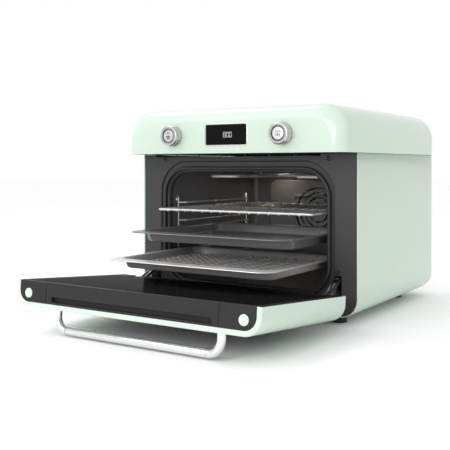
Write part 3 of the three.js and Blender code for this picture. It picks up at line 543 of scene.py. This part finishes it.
def bent(corners, radius, steps=8):
    """A path through corners, each rounded by a true arc: the arc's centre lies on the corner's
    bisector, and the arc runs from one tangent point to the other."""
    corners = np.asarray(corners, float)
    parts = [corners[:1]]
    for before, here, after in zip(corners, corners[1:], corners[2:]):
        u = (here - before) / np.linalg.norm(here - before)
        v = (after - here) / np.linalg.norm(after - here)
        turn = np.arccos(np.clip(u @ v, -1, 1))
        side = v - (u @ v) * u
        side = side / np.linalg.norm(side)
        start = here - u * radius * np.tan(turn / 2)
        angle = np.linspace(0, turn, steps + 1)[:, None]
        parts.append(start + radius * (np.sin(angle) * u + (1 - np.cos(angle)) * side))
    parts.append(corners[-1:])
    return np.vstack(parts)


tube_in = LINER_REAR + 8
corners = [(-22, tube_in), (-22, 336), (-138, 336), (-138, 92), (-70, 92), (-70, 270), (70, 270), (70, 92),
           (138, 92), (138, 336), (22, 336), (22, tube_in)]
path = bent([(x, y, GRILL_Z) for x, y in corners], 16)
grill = piece("grill_tube", [(carried(path, (0, 0, 1), circle(3.3, 16)), "cse")], "cabinet",
              ["grill_element"])
paint(grill, sheath)
angle = np.linspace(0, 2 * np.pi, 72, endpoint=False)
ring_path = np.column_stack((72 * np.cos(angle), np.full(72, 360.0), FAN_Z + 72 * np.sin(angle)))
legs = [(carried(((x, 360, FAN_Z - 71), (x, tube_in, FAN_Z - 71)), (0, 0, 1), circle(3.3)), "cse")
        for x in (-12, 12)]
ring = piece("ring_tube", [(carried(ring_path, (0, 1, 0), circle(3.3), True), "rc")] + legs, "cabinet",
             ["ring_element"])
paint(ring, sheath)
for name in ("element_bracket_left", "element_bracket_right"):
    paint(nodes[name], steel_blade)
lamp, tree, shader, place = finish_of("lit_lamp_glass", "#FFF3D8", 0.2)
shader.inputs["Emission Color"].default_value = srgb("#FFF3DE")
facing = add_node(tree, "ShaderNodeSeparateXYZ", None,
                  {"Vector": add_node(tree, "ShaderNodeNewGeometry").outputs["Normal"]})
glow = add_node(tree, "ShaderNodeMapRange",
                {"From Min": -0.5, "From Max": -0.2, "To Min": 8.0, "To Max": 0.0},
                {"Value": facing.outputs["Z"]})
tree.links.new(glow.outputs["Result"], shader.inputs["Emission Strength"])
ribs = add_node(tree, "ShaderNodeTexWave", {"Scale": 1000 / 24}, {"Vector": place})
bump = add_node(tree, "ShaderNodeBump", {"Strength": 0.6, "Distance": 0.0008},
                {"Height": ribs.outputs["Fac"]})
tree.links.new(bump.outputs["Normal"], shader.inputs["Normal"])
paint(nodes["lamp_lens"], lamp)

# ------------------------------------------------------------------ side racks
# Chromed wire ladders hooked into the cavity wall: two upright wires in cups, and pairs of level
# wires that bulge inwards to carry the rack and the trays.
chrome, tree, shader, place = finish_of("polished_chrome", "#F0EFEE", 0.22, Metallic=0.6)
rubbed(tree, shader, place, 0.18, 0.28, 20)
mottled(tree, shader, place, "#EBEAE9", "#F5F4F3", 30)
POST_X, SHELF_X = 188.0, 174.0
POST_Y = (46.0, 328.0)
RACK_Z, UPPER_Z, LOWER_Z = 203.7, 164.6, 117.3
for name, side in (("left", -1), ("right", 1)):
    wires = []
    for y in POST_Y:
        post = bent([(side * (POST_X + 4), y, 78), (side * POST_X, y, 82), (side * POST_X, y, 224),
                     (side * (POST_X + 4), y, 228)], 3, 4)
        wires.append((carried(post, (0, 1, 0), circle(1.9, 10)), "cse"))
        for z in (84, 220):
            cup = [(0.1, 0), (3.6, 0), (4.4, 0.4), (4.6, 1.2), (3.9, 2.4), (2.4, 3.6), (0.1, 3.8)]
            cup = [(r, side * (192.4 - h)) for r, h in cup]
            wires.append((turned(cup, (0, y, z), "x", 20), "cse"))
    for top in (RACK_Z - 2.4, UPPER_Z - 1.6, LOWER_Z - 1.6):
        for z in (top - 2.0, top + 12.5):
            level = bent([(side * POST_X, POST_Y[0], z), (side * SHELF_X, POST_Y[0] + 12, z),
                          (side * SHELF_X, POST_Y[1] - 12, z), (side * POST_X, POST_Y[1], z)], 7, 6)
            wires.append((carried(level, (0, 0, 1), circle(1.6, 10)), "cse"))
    ladder = piece("wire_ladder_" + name, wires, "cabinet", ["side_rack_" + name])
    paint(ladder, chrome)

# ------------------------------------------------------------------ wire rack
# Chromed oven shelf: a bent rim bar with stop notches, and fifteen thin wires welded on top whose
# ends curl down over the front and rear bars. A cross bar ties them in the middle.
rack_low, rack_high = (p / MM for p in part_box("wire_rack"))
RACK_FRONT, RACK_REAR = rack_low.y - FACE_Y + 2.4, rack_high.y - FACE_Y - 2.4
RACK_HALF = 172.0
x, z = RACK_HALF, RACK_Z
notch = RACK_FRONT + 190
side_path = [(0, RACK_FRONT, z), (x, RACK_FRONT, z), (x, notch - 22, z), (x - 6, notch - 13, z),
             (x - 6, notch, z - 5.6), (x - 6, notch + 13, z), (x, notch + 22, z), (x, RACK_REAR, z),
             (0, RACK_REAR, z)]
half_rim = bent(side_path, 4, 6)
shelf = []
for side in (1, -1):
    shelf.append((carried(half_rim * (side, 1, 1), (0, 0, 1), circle(2.4, 12)), "cse"))
cross_bar = [(-x, notch - 30, z - 0.6), (x, notch - 30, z - 0.6)]
shelf.append((carried(cross_bar, (0, 0, 1), circle(1.7, 10)), "cse"))
thin = circle(0.9, 8)
for k in range(15):
    wx = (k - 7) * 21.3
    wire = bent([(wx, RACK_FRONT - 1.5, z - 3.4), (wx, RACK_FRONT - 1.5, z + 2.2),
                 (wx, RACK_REAR + 1.5, z + 2.2), (wx, RACK_REAR + 1.5, z - 3.4)], 1.2, 4)
    shelf.append((carried(wire, (1, 0, 0), thin), "cse"))
wire_shelf = piece("wire_shelf", shelf, "rack", ["wire_rack"])
# Chrome plate on thin wire, duller than on the side racks.
bright_wire, tree, shader, place = finish_of("electroplated_wire", "#D6D5D4", 0.3, Metallic=0.5)
rubbed(tree, shader, place, 0.24, 0.36, 12)
mottled(tree, shader, place, "#D0CFCE", "#DCDBDA", 10)
paint(wire_shelf, bright_wire)

# ------------------------------------------------------------------ trays
# Two pressed trays of one shape: rolled lip, wide flat rim, sloping walls and a flat floor. The upper
# one is dark enamel, the lower one is bare satin steel.


RIM_INSET = 9.0                               # rows set in by more than this lie inside the flat rim


def pan_rows(half, y0, depth, z, deep, grip):
    """Rounded rectangles from the middle of the floor outwards, each with its set-in, height and
    corner radius: floor, fillet, sloping wall, fillet, flat rim, rolled lip. The front rim is wider
    by the grip, so everything inside the rim is set in by that much more at the front."""
    bend = np.linspace(0, 1, 6)
    ease = np.sin(bend * np.pi / 2)
    floor = z - deep
    rows = [(40, floor, 10), (24, floor, 14)]
    rows += [(22 - 5 * s, floor + 5 * (1 - np.sqrt(1 - (0.92 * s) ** 2)) * 1.1, 15 + 2 * s)
             for s in ease[1:]]
    rows += [(13.5, z - 4, 21)]
    rows += [(12.8 - 2.6 * t, z - 3 + 2.6 * np.sin(t * np.pi / 2) ** 0.8, 22 + 2 * t) for t in bend[1:]]
    rows += [(9.2, z - 0.1, 24.5), (3, z - 0.2, 29), (1.2, z - 0.4, 29.6), (0.5, z - 1.0, 30),
             (0.6, z - 1.5, 30)]
    x0 = -half
    return np.stack([np.column_stack((
        rounded(x0 + i, half - i, y0 + i + grip * (i > RIM_INSET), y0 + depth - i, r),
        np.full(4 * (ARC + 1), float(h)))) for i, h, r in rows])


# Vitreous enamel with a fine dark speckle.
tray_enamel, tree, shader, place = finish_of("black_tray_enamel", "#5A595A", 0.34, Coat_Weight=0.3,
                                             Coat_Roughness=0.2)
mottled(tree, shader, place, "#525152", "#636263", 2.2, 6.0)
rubbed(tree, shader, place, 0.28, 0.42, 18)
grained(tree, shader, place, 4.0, 0.03)
# Rolled steel, its grain drawn out along the width.
satin_steel, tree, shader, place = finish_of("satin_rolled_steel", "#D2CFCD", 0.42, Metallic=0.6)
mottled(tree, shader, place, "#CBC8C6", "#D8D5D3", 40)
rubbed(tree, shader, place, 0.36, 0.48, 14)
grained(tree, shader, place, 1.4, 0.02, 2.0, (0.04, 1, 1))
for name, node, body, slot_name, material, z, deep, grip in (
        ("dark_tray", "enamel_tray", "upper_tray", "cavity_enamel", tray_enamel, UPPER_Z, 20.0, 24.0),
        ("steel_tray", "roasting_tray", "lower_tray", "plated_steel", satin_steel, LOWER_Z, 18.0, 21.0)):
    low, high = (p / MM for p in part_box(node))
    rows = pan_rows(178.0, low.y - FACE_Y, high.y - low.y, z, deep, grip)
    made = piece(name, [(rows, "cs")], body, [node])
    paint(thicken(made, 0.9, 0.0), material)

# ------------------------------------------------------------------ wire insert
# Fine welded wire grid that stands on short feet in the lower tray.
low, high = (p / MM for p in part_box("mesh_insert"))
floor = low.z
x1 = high.x - 1
y0, y1 = low.y - FACE_Y + 1, high.y - FACE_Y - 1
fine = circle(0.55, 6)
rim_loop = rounded(-x1, x1, y0, y1, 9.0, 6)
rim_path = np.column_stack((rim_loop, np.full(len(rim_loop), floor + 7.0)))
grid = [(carried(rim_path, (0, 0, 1), circle(1.4, 8), True), "rc")]
for wy in np.linspace(y0 + 14, y1 - 14, 12):
    grid.append((carried([(-x1, wy, floor + 6.6), (x1, wy, floor + 6.6)], (0, 0, 1), fine), "cse"))
for wx in np.linspace(-x1 + 14, x1 - 14, 17):
    grid.append((carried([(wx, y0, floor + 7.7), (wx, y1, floor + 7.7)], (0, 0, 1), fine), "cse"))
stub = [(0.1, floor), (1.2, floor), (1.4, floor + 0.6), (1.4, floor + 6.6), (0.1, floor + 6.8)]
for wx in (-x1 + 1, x1 - 1):
    for wy in (y0 + 20, y1 - 20):
        grid.append((turned(stub, (wx, wy, 0), "z", 10), "cse"))
wire_insert = piece("wire_insert", grid, "lower_tray", ["mesh_insert"])
paint(wire_insert, bright_wire)

# ------------------------------------------------------------------ clock display
# Black printed glass in a bright frame, set into the hood, with a plain white seven-segment clock.
DISPLAY = (-48.5, 48.5, 329.5, 373.5, 6.0)
rows = [ring_row(DISPLAY, 0, HOOD_FRONT + 3), ring_row(DISPLAY, 0, HOOD_FRONT - 0.6),
        ring_row(DISPLAY, -0.3, HOOD_FRONT - 1.2), ring_row(DISPLAY, -0.9, HOOD_FRONT - 1.4),
        ring_row(DISPLAY, -1.7, HOOD_FRONT - 1.4), ring_row(DISPLAY, -2.5, HOOD_FRONT - 0.8),
        ring_row(DISPLAY, -2.6, HOOD_FRONT + 3)]
bezel = piece("display_frame", [(np.stack(rows), "rc")], "cabinet", ["display_bezel"])
# Satin chrome plate on the bezel.
satin_chrome, tree, shader, place = finish_of("satin_chrome", "#CFCFD0", 0.24, Metallic=1.0)
rubbed(tree, shader, place, 0.2, 0.3, 15)
mottled(tree, shader, place, "#C9C9CA", "#D5D5D6", 10)
paint(bezel, satin_chrome)
rows = [ring_row(DISPLAY, -2.7, HOOD_FRONT + 3), ring_row(DISPLAY, -2.7, HOOD_FRONT - 0.2),
        ring_row(DISPLAY, -3.1, HOOD_FRONT - 0.6), ring_row(DISPLAY, -8, HOOD_FRONT - 0.6)]
clock_glass = piece("clock_glass", [(np.stack(rows), "cse")], "cabinet", ["display_glass"])
# Glass printed solid black on its rear face.
black_glass, tree, shader, place = finish_of("black_printed_glass", "#0C0C0D", 0.08,
                                             Specular_IOR_Level=0.08)
rubbed(tree, shader, place, 0.05, 0.12, 40)
mottled(tree, shader, place, "#0B0B0C", "#0F0F10", 50)
paint(clock_glass, black_glass)

SEGMENTS = {"8": "abcdefg", "0": "abcdef"}
CLOCK_Z = 351.5
LED_DEPTHS = (HOOD_FRONT - 0.75, HOOD_FRONT - 0.5)
digit_wide, digit_high, stroke = 4.6, 9.8, 0.55
layout = {"a": (0, 1, 0), "b": (0.5, 0.5, 1), "c": (0.5, -0.5, 1), "d": (0, -1, 0), "e": (-0.5, -0.5, 1),
          "f": (-0.5, 0.5, 1), "g": (0, 0, 0)}
strokes = []
for digit, x in (("8", -3.0), ("0", 4.4), ("0", 10.8)):
    for segment in SEGMENTS[digit]:
        across, up, standing = layout[segment]
        cx, cz = x + across * digit_wide, CLOCK_Z + up * digit_high / 2
        half_x, half_z = stroke / 2, digit_high / 4 - stroke
        if not standing:
            half_x, half_z = digit_wide / 2 - stroke, stroke / 2
        strokes.append(block(cx - half_x, cx + half_x, *LED_DEPTHS, cz - half_z, cz + half_z, 0.4 * stroke))
for dz in (-2.4, 2.4):
    dot = CLOCK_Z + dz
    strokes.append(block(0.3, 1.1, *LED_DEPTHS, dot - 0.45, dot + 0.45, 0.3))
digits = piece("clock_digits", strokes, "cabinet")
# White light-emitting segments behind a grey diffuser.
led, tree, shader, place = finish_of("white_led_segment", "#303030", 0.4, Emission_Strength=1.3)
shader.inputs["Emission Color"].default_value = srgb("#F4F7FA")
rubbed(tree, shader, place, 0.35, 0.45, 3)
paint(digits, led)

# ------------------------------------------------------------------ knobs and buttons
# Turned brass, chrome plated: a wide skirt with a bright chamfer and a centre button in a dark groove
# that carries a small printed sign.
skirt = [(5.0, 0.4), (20.2, 0.4), (20.5, 0.7), (20.5, 6.4), (20.2, 7.2), (19.2, 7.9), (18.9, 8.4),
         (18.9, 9.2), (19.2, 9.7), (20.1, 10.4), (20.4, 11.2), (20.4, 16.6), (20.1, 17.4), (18.7, 18.7),
         (18.2, 18.95), (17.0, 19.0), (14.9, 19.0), (14.6, 18.7), (14.6, 14.0), (3.5, 14.0), (3.5, 2.0),
         (5.0, 2.0)]
cap = [(0.1, 15.8), (13.9, 15.8), (13.9, 18.3), (13.6, 18.7), (13.1, 18.9), (8.0, 18.9), (0.1, 18.9)]
# Pad-printed ink, brushed chrome on the skirt, and bead-blasted chrome on the button.
print_grey, tree, shader, place = finish_of("dark_pad_print", "#111112", 0.5, Specular_IOR_Level=0.2)
mottled(tree, shader, place, "#0F0F10", "#151516", 1)
knob_chrome, tree, shader, place = finish_of("brushed_chrome_plate", "#BDBCBC", 0.2, Metallic=1.0)
rubbed(tree, shader, place, 0.15, 0.26, 4)
mottled(tree, shader, place, "#B7B6B6", "#C3C2C2", 6)
button_face, tree, shader, place = finish_of("bead_blasted_chrome", "#C8C7C7", 0.38, Metallic=1.0)
rubbed(tree, shader, place, 0.33, 0.45, 3)
mottled(tree, shader, place, "#C2C1C1", "#CECDCD", 5)


def forward(profile):
    """Turns heights off the hood's face into depths."""
    return [(r, HOOD_FRONT - h) for r, h in profile]


KNOB_X, KNOB_Z = 123.0, 351
for name, side in (("left", -1), ("right", 1)):
    x = side * KNOB_X
    middle = (x, 0, KNOB_Z)
    made = piece("turned_knob_" + name, [(turned(forward(skirt), middle, steps=72), "rc")],
                 "knob_" + name, ["knob_" + name])
    paint(made, knob_chrome)
    made = piece("press_button_" + name, [(turned(forward(cap), middle, steps=64), "cse")],
                 "button_" + name, ["knob_button_" + name])
    paint(made, button_face)
    ring_line = turned(forward([(13.3, 18.85), (13.3, 19.0), (11.6, 19.0), (11.6, 18.85)]), middle,
                       steps=64)
    mark_y = (HOOD_FRONT - 19.05, HOOD_FRONT - 18.8)
    marks = [(ring_line, "rc")]
    if side < 0:
        small_ring = forward([(2.7, 18.85), (2.7, 19.05), (1.9, 19.05), (1.9, 18.85)])
        marks.append((turned(small_ring, (x, 0, 356.3), steps=32), "rc"))
        for z, wide in ((350.2, 5.2), (347.9, 3.4), (345.2, 4.4)):
            marks.append(block(x - wide, x + wide, *mark_y, z - 0.75, z + 0.75, 0.5))
    else:
        for dx in (-4.2, 0, 4.2):
            marks.append(block(x + dx - 1.3, x + dx + 1.3, *mark_y, 353.6, 355.0, 0.6))
        for dx, high in ((-3.2, 2.0), (0, 2.8), (3.2, 2.0)):
            marks.append(block(x + dx - 0.6, x + dx + 0.6, *mark_y, 348.2 - high, 348.2 + high, 0.5))
    made = piece("button_print_" + name, marks, "button_" + name)
    paint(made, print_grey)

# ------------------------------------------------------------------ door shell
# One folded sheet, powder coated: outer face, rounded long edges and a turned-in rim at both ends.
# Door shapes are laid out closed, and then swung open about the hinge line, which the arms have
# carried forward.
joints = {joint["name"]: joint for joint in frame["joints"]}
hinge = joints["door_hinge"]
CARRIED = joints["hinge_carriage_slide"]["range_m"][1] / MM
HINGE_Y, HINGE_Z = hinge["pos_m"][1] / MM - FACE_Y, hinge["pos_m"][2] / MM
OPEN = np.radians(hinge["range_deg"][1])
DOOR_FACE, DOOR_BACK = -61.0, -16.0
DOOR_HALF = 249.0
DOOR_LOW, DOOR_HIGH = 22.0, 312.0
DOOR_CORNER, DOOR_RIM = 30.0, 8.7


def swung(grids):
    """Turns grids about the hinge line: depth and height each become the cosine and sine mix of both."""
    turned_grids = []
    for grid, closes in grids:
        y, z = grid[..., 1] - HINGE_Y - CARRIED, grid[..., 2] - HINGE_Z
        turned_grids.append((np.stack((grid[..., 0], HINGE_Y + y * np.cos(OPEN) - z * np.sin(OPEN),
                                       HINGE_Z + y * np.sin(OPEN) + z * np.cos(OPEN)), -1), closes))
    return turned_grids


def channel(inset, z):
    """Open channel seen from above at a height: side, quarter round, face, quarter round and side,
    set in by an amount."""
    angle = np.linspace(0, np.pi / 2, ARC + 1)
    x = DOOR_HALF - DOOR_CORNER + (DOOR_CORNER - inset) * np.cos(angle)
    y = DOOR_FACE + DOOR_CORNER - (DOOR_CORNER - inset) * np.sin(angle)
    x, y = np.append(DOOR_HALF - inset, x), np.append(DOOR_BACK, y)
    x, y = np.append(x, -x[::-1]), np.append(y, y[::-1])
    return np.column_stack((x, y, np.full(len(x), float(z))))


fold = 3.0
quarter = np.linspace(0, np.pi / 2, 7)
rows = [channel(DOOR_RIM, DOOR_LOW + 5), channel(DOOR_RIM, DOOR_LOW + 1)]
rows += [channel(DOOR_RIM - 1 + np.cos(a), DOOR_LOW + 1 - np.sin(a)) for a in quarter[1:]]
rows += [channel(fold - fold * np.sin(a), DOOR_LOW + fold - fold * np.cos(a)) for a in quarter]
rows += [channel(0, z) for z in (DOOR_LOW + fold + 1, 100, 230, DOOR_HIGH - fold - 1)]
rows += [channel(fold - fold * np.cos(a), DOOR_HIGH - fold + fold * np.sin(a)) for a in quarter]
rows += [channel(DOOR_RIM - 1 + np.sin(a), DOOR_HIGH - 1 + np.cos(a)) for a in quarter]
rows += [channel(DOOR_RIM, DOOR_HIGH - 6)]
shell_grid = [(np.stack(rows), "")]
window = block(-178, 178, -80, -50, 72, 258, 24, 8)
door_skin = piece("door_skin", swung(shell_grid), "door", ["door_shell"])
thicken(door_skin, 1.4)
cut_out(door_skin, swung([window]))
paint(break_edges(door_skin, 0.45), mint_coat)
paint(nodes["door_outer_glass"], black_glass)
# Dark oven glass; its reflection is held almost at nothing.
door_glass, tree, shader, place = finish_of("black_oven_glass", "#161617", 0.1, Specular_IOR_Level=0.0001)
rubbed(tree, shader, place, 0.07, 0.15, 45)
mottled(tree, shader, place, "#131314", "#1A1A1B", 60)
paint(nodes["door_inner_glass"], door_glass)

# Pressed steel pan inside the door, dark enamelled, that holds the inner glass on a ledge.
pan_enamel, tree, shader, place = finish_of("satin_black_enamel", "#242425", 0.4, Specular_IOR_Level=0.02)
mottled(tree, shader, place, "#222223", "#282829", 30)
rubbed(tree, shader, place, 0.36, 0.46, 20)
grained(tree, shader, place, 2.0, 0.02)
paint(nodes["door_inner_frame"], pan_enamel)

# ------------------------------------------------------------------ door end caps
# Moulded black plastic with a fine spark-eroded grain: a centre cap with the long air slot, and an
# end cap at each side with a round painted plug over its screw.
moulded, tree, shader, place = finish_of("grained_black_plastic", "#29292A", 0.5, Specular_IOR_Level=0.15)
mottled(tree, shader, place, "#272728", "#2C2C2D", 20)
rubbed(tree, shader, place, 0.46, 0.56, 12)
grained(tree, shader, place, 0.9, 0.04, 3.0)
CAP_SEAM = 176.0
CAP_Z = DOOR_HIGH - 0.5
cap_front = DOOR_FACE + DOOR_RIM + 0.4


def flat_rows(outlines):
    """Rows of a lid: outlines in X and Y, each at its height."""
    return np.stack([np.column_stack((outline, np.full(len(outline), float(z))))
                     for outline, z in outlines])


slot_box = (-164, 164, DOOR_FACE + 12.5, DOOR_FACE + 21.5)
lid = [(rounded(-CAP_SEAM + i, CAP_SEAM - i, cap_front + i, DOOR_BACK - i, 1.0, 6), z)
       for i, z in ((0, 300.5), (0, CAP_Z - 0.6), (0.2, CAP_Z - 0.15), (0.6, CAP_Z))]
lid += [(rounded(slot_box[0] - g, slot_box[1] + g, slot_box[2] - g, slot_box[3] + g, 2.0 + g, 6), z)
        for g, z in ((0.6, CAP_Z), (0.1, CAP_Z - 0.3), (0, CAP_Z - 1), (0, 303.2))]
made = piece("centre_cap", swung([(flat_rows(lid), "cse")]), "door", ["door_cap_centre"])
paint(made, moulded)
for name, side in (("left", -1), ("right", 1)):
    outline = channel(DOOR_RIM + 0.4, 0)[: ARC + 2, :2]
    outline = np.vstack((outline, (CAP_SEAM + 0.6, cap_front), (CAP_SEAM + 0.6, DOOR_BACK))) * (side, 1)
    centre = np.array((side * 219.0, -37.0))
    spread = np.vstack([np.linspace(a, b, 8, endpoint=False) for a, b in
                        zip(outline, np.roll(outline, -1, 0))])
    away = spread - centre
    away = away / np.linalg.norm(away, axis=1, keepdims=True)
    inner = spread - away * 0.6
    lid = [(spread, 300.5), (spread, CAP_Z - 0.6), (spread - away * 0.2, CAP_Z - 0.15), (inner, CAP_Z),
           (centre + away * 9.3, CAP_Z), (centre + away * 8.9, CAP_Z - 0.3), (centre + away * 8.9, 302)]
    made = piece("end_cap_" + name, swung([(flat_rows(lid), "cs")]), "door",
                 ["door_cap_" + name])
    paint(made, moulded)
    plug = [(0.1, 301), (8.5, 301), (8.5, 311.2), (8.3, 311.7), (7.8, 312), (4, 312), (0.1, 312)]
    made = piece("round_plug_" + name, swung([(turned(plug, (*centre, 0), "z", 48), "cse")]), "door",
                 ["cap_plug_" + name])
    paint(made, mint_coat)
paint(nodes["door_bottom_cap"], moulded)

# ------------------------------------------------------------------ door handle
# Polished chromed steel tube: a straight bar pressed onto two elbows that screw to the door's face.
HANDLE_X, HANDLE_Y, HANDLE_Z, HANDLE_R, HANDLE_BEND = 168.0, -96.0, 288.0, 7.0, 22.0
bar_end = HANDLE_X - HANDLE_BEND - 2
tube_section = circle(HANDLE_R, 40)
bar = [(0.1, -bar_end), (6.4, -bar_end), (6.85, -bar_end + 0.15), (7, -bar_end + 0.5), (7, 0),
       (7, bar_end - 0.5), (6.85, bar_end - 0.15), (6.4, bar_end), (0.1, bar_end)]
straight = (turned(bar, (0, HANDLE_Y, HANDLE_Z), "x"), "cse")
made = piece("handle_tube", swung([straight]), "door", ["handle_bar"])
# Chrome plate, polished along the tube.
handle_chrome, tree, shader, place = finish_of("satin_polished_chrome", "#E4E3E4", 0.17, Metallic=1.0)
rubbed(tree, shader, place, 0.13, 0.22, 18)
mottled(tree, shader, place, "#E0DFE0", "#E8E7E8", 25)
paint(made, handle_chrome)
for name, side in (("left", -1), ("right", 1)):
    path = bent([(side * (bar_end + 0.4), HANDLE_Y, HANDLE_Z), (side * HANDLE_X, HANDLE_Y, HANDLE_Z),
                 (side * HANDLE_X, DOOR_FACE - 0.3, HANDLE_Z)], HANDLE_BEND, 16)
    made = piece("handle_bend_" + name, swung([(carried(path, (0, 0, 1), tube_section), "cse")]), "door",
                 ["handle_elbow_" + name])
    paint(made, handle_chrome)

# ------------------------------------------------------------------ hinges
# Zinc-plated arms that slide in the frame and carry the door's pins, and brushed, chromed twin-bar
# links between door and frame.
for name in ("left", "right"):
    paint(nodes["hinge_arm_" + name], plated)
    paint(nodes["hinge_link_" + name], knob_chrome)

# ------------------------------------------------------------------ floor, light and camera
# Plain pale floor, a large soft key from the upper left, a wide top light and a weaker, low light
# into the mouth.


def plain(name, points, faces, colour, roughness):
    """A flat stage surface with one even finish."""
    mesh = bpy.data.meshes.new(name)
    mesh.from_pydata(points, [], faces)
    made = bpy.data.objects.new(name, mesh)
    bpy.context.scene.collection.objects.link(made)
    material, tree, shader, place = finish_of(name + "_paper", colour, roughness)
    made.data.materials.append(material)
    made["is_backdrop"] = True
    return made


plain("floor", [(-12, -12, 0), (12, -12, 0), (12, 12, 0), (-12, 12, 0)], [(0, 1, 2, 3)], "#FCFCFC", 0.6)


def soft_light(name, energy, size, position, target):
    """A square soft box that faces a point."""
    lamp_data = bpy.data.lights.new(name, "AREA")
    lamp_data.energy = energy
    lamp_data.size = size
    made = bpy.data.objects.new(name, lamp_data)
    made.location = position
    made.rotation_euler = (Vector(target) - Vector(position)).to_track_quat("-Z", "Y").to_euler()
    bpy.context.scene.collection.objects.link(made)


soft_light("key", 15, 1.6, (-1.3, -2.4, 2.0), (0, 0, 0.2))
soft_light("top", 12, 1.0, (-1.1, 0.2, 2.1), (0, 0, 0.35))
soft_light("mouth", 8, 0.6, (0.1, -1.6, 0.62), (0, 0, 0.17))
world = bpy.data.worlds.new("studio")
bpy.context.scene.world = world
world.use_nodes = True
world.node_tree.nodes["Background"].inputs["Color"].default_value = srgb("#FFFFFF")
world.node_tree.nodes["Background"].inputs["Strength"].default_value = 1.0
bpy.context.scene.view_settings.view_transform = "Standard"

camera_data = bpy.data.cameras.new("camera")
camera_data.lens = 61.2
camera_data.sensor_width = 36.0
camera_data.shift_y = -0.131
camera = bpy.data.objects.new("camera", camera_data)
camera.location = (0.7896, -1.2819 + FACE_Y * MM, 0.2917)
camera.rotation_euler = (np.pi / 2, 0, np.radians(32.87))
bpy.context.scene.collection.objects.link(camera)
bpy.context.scene.camera = camera

low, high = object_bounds()
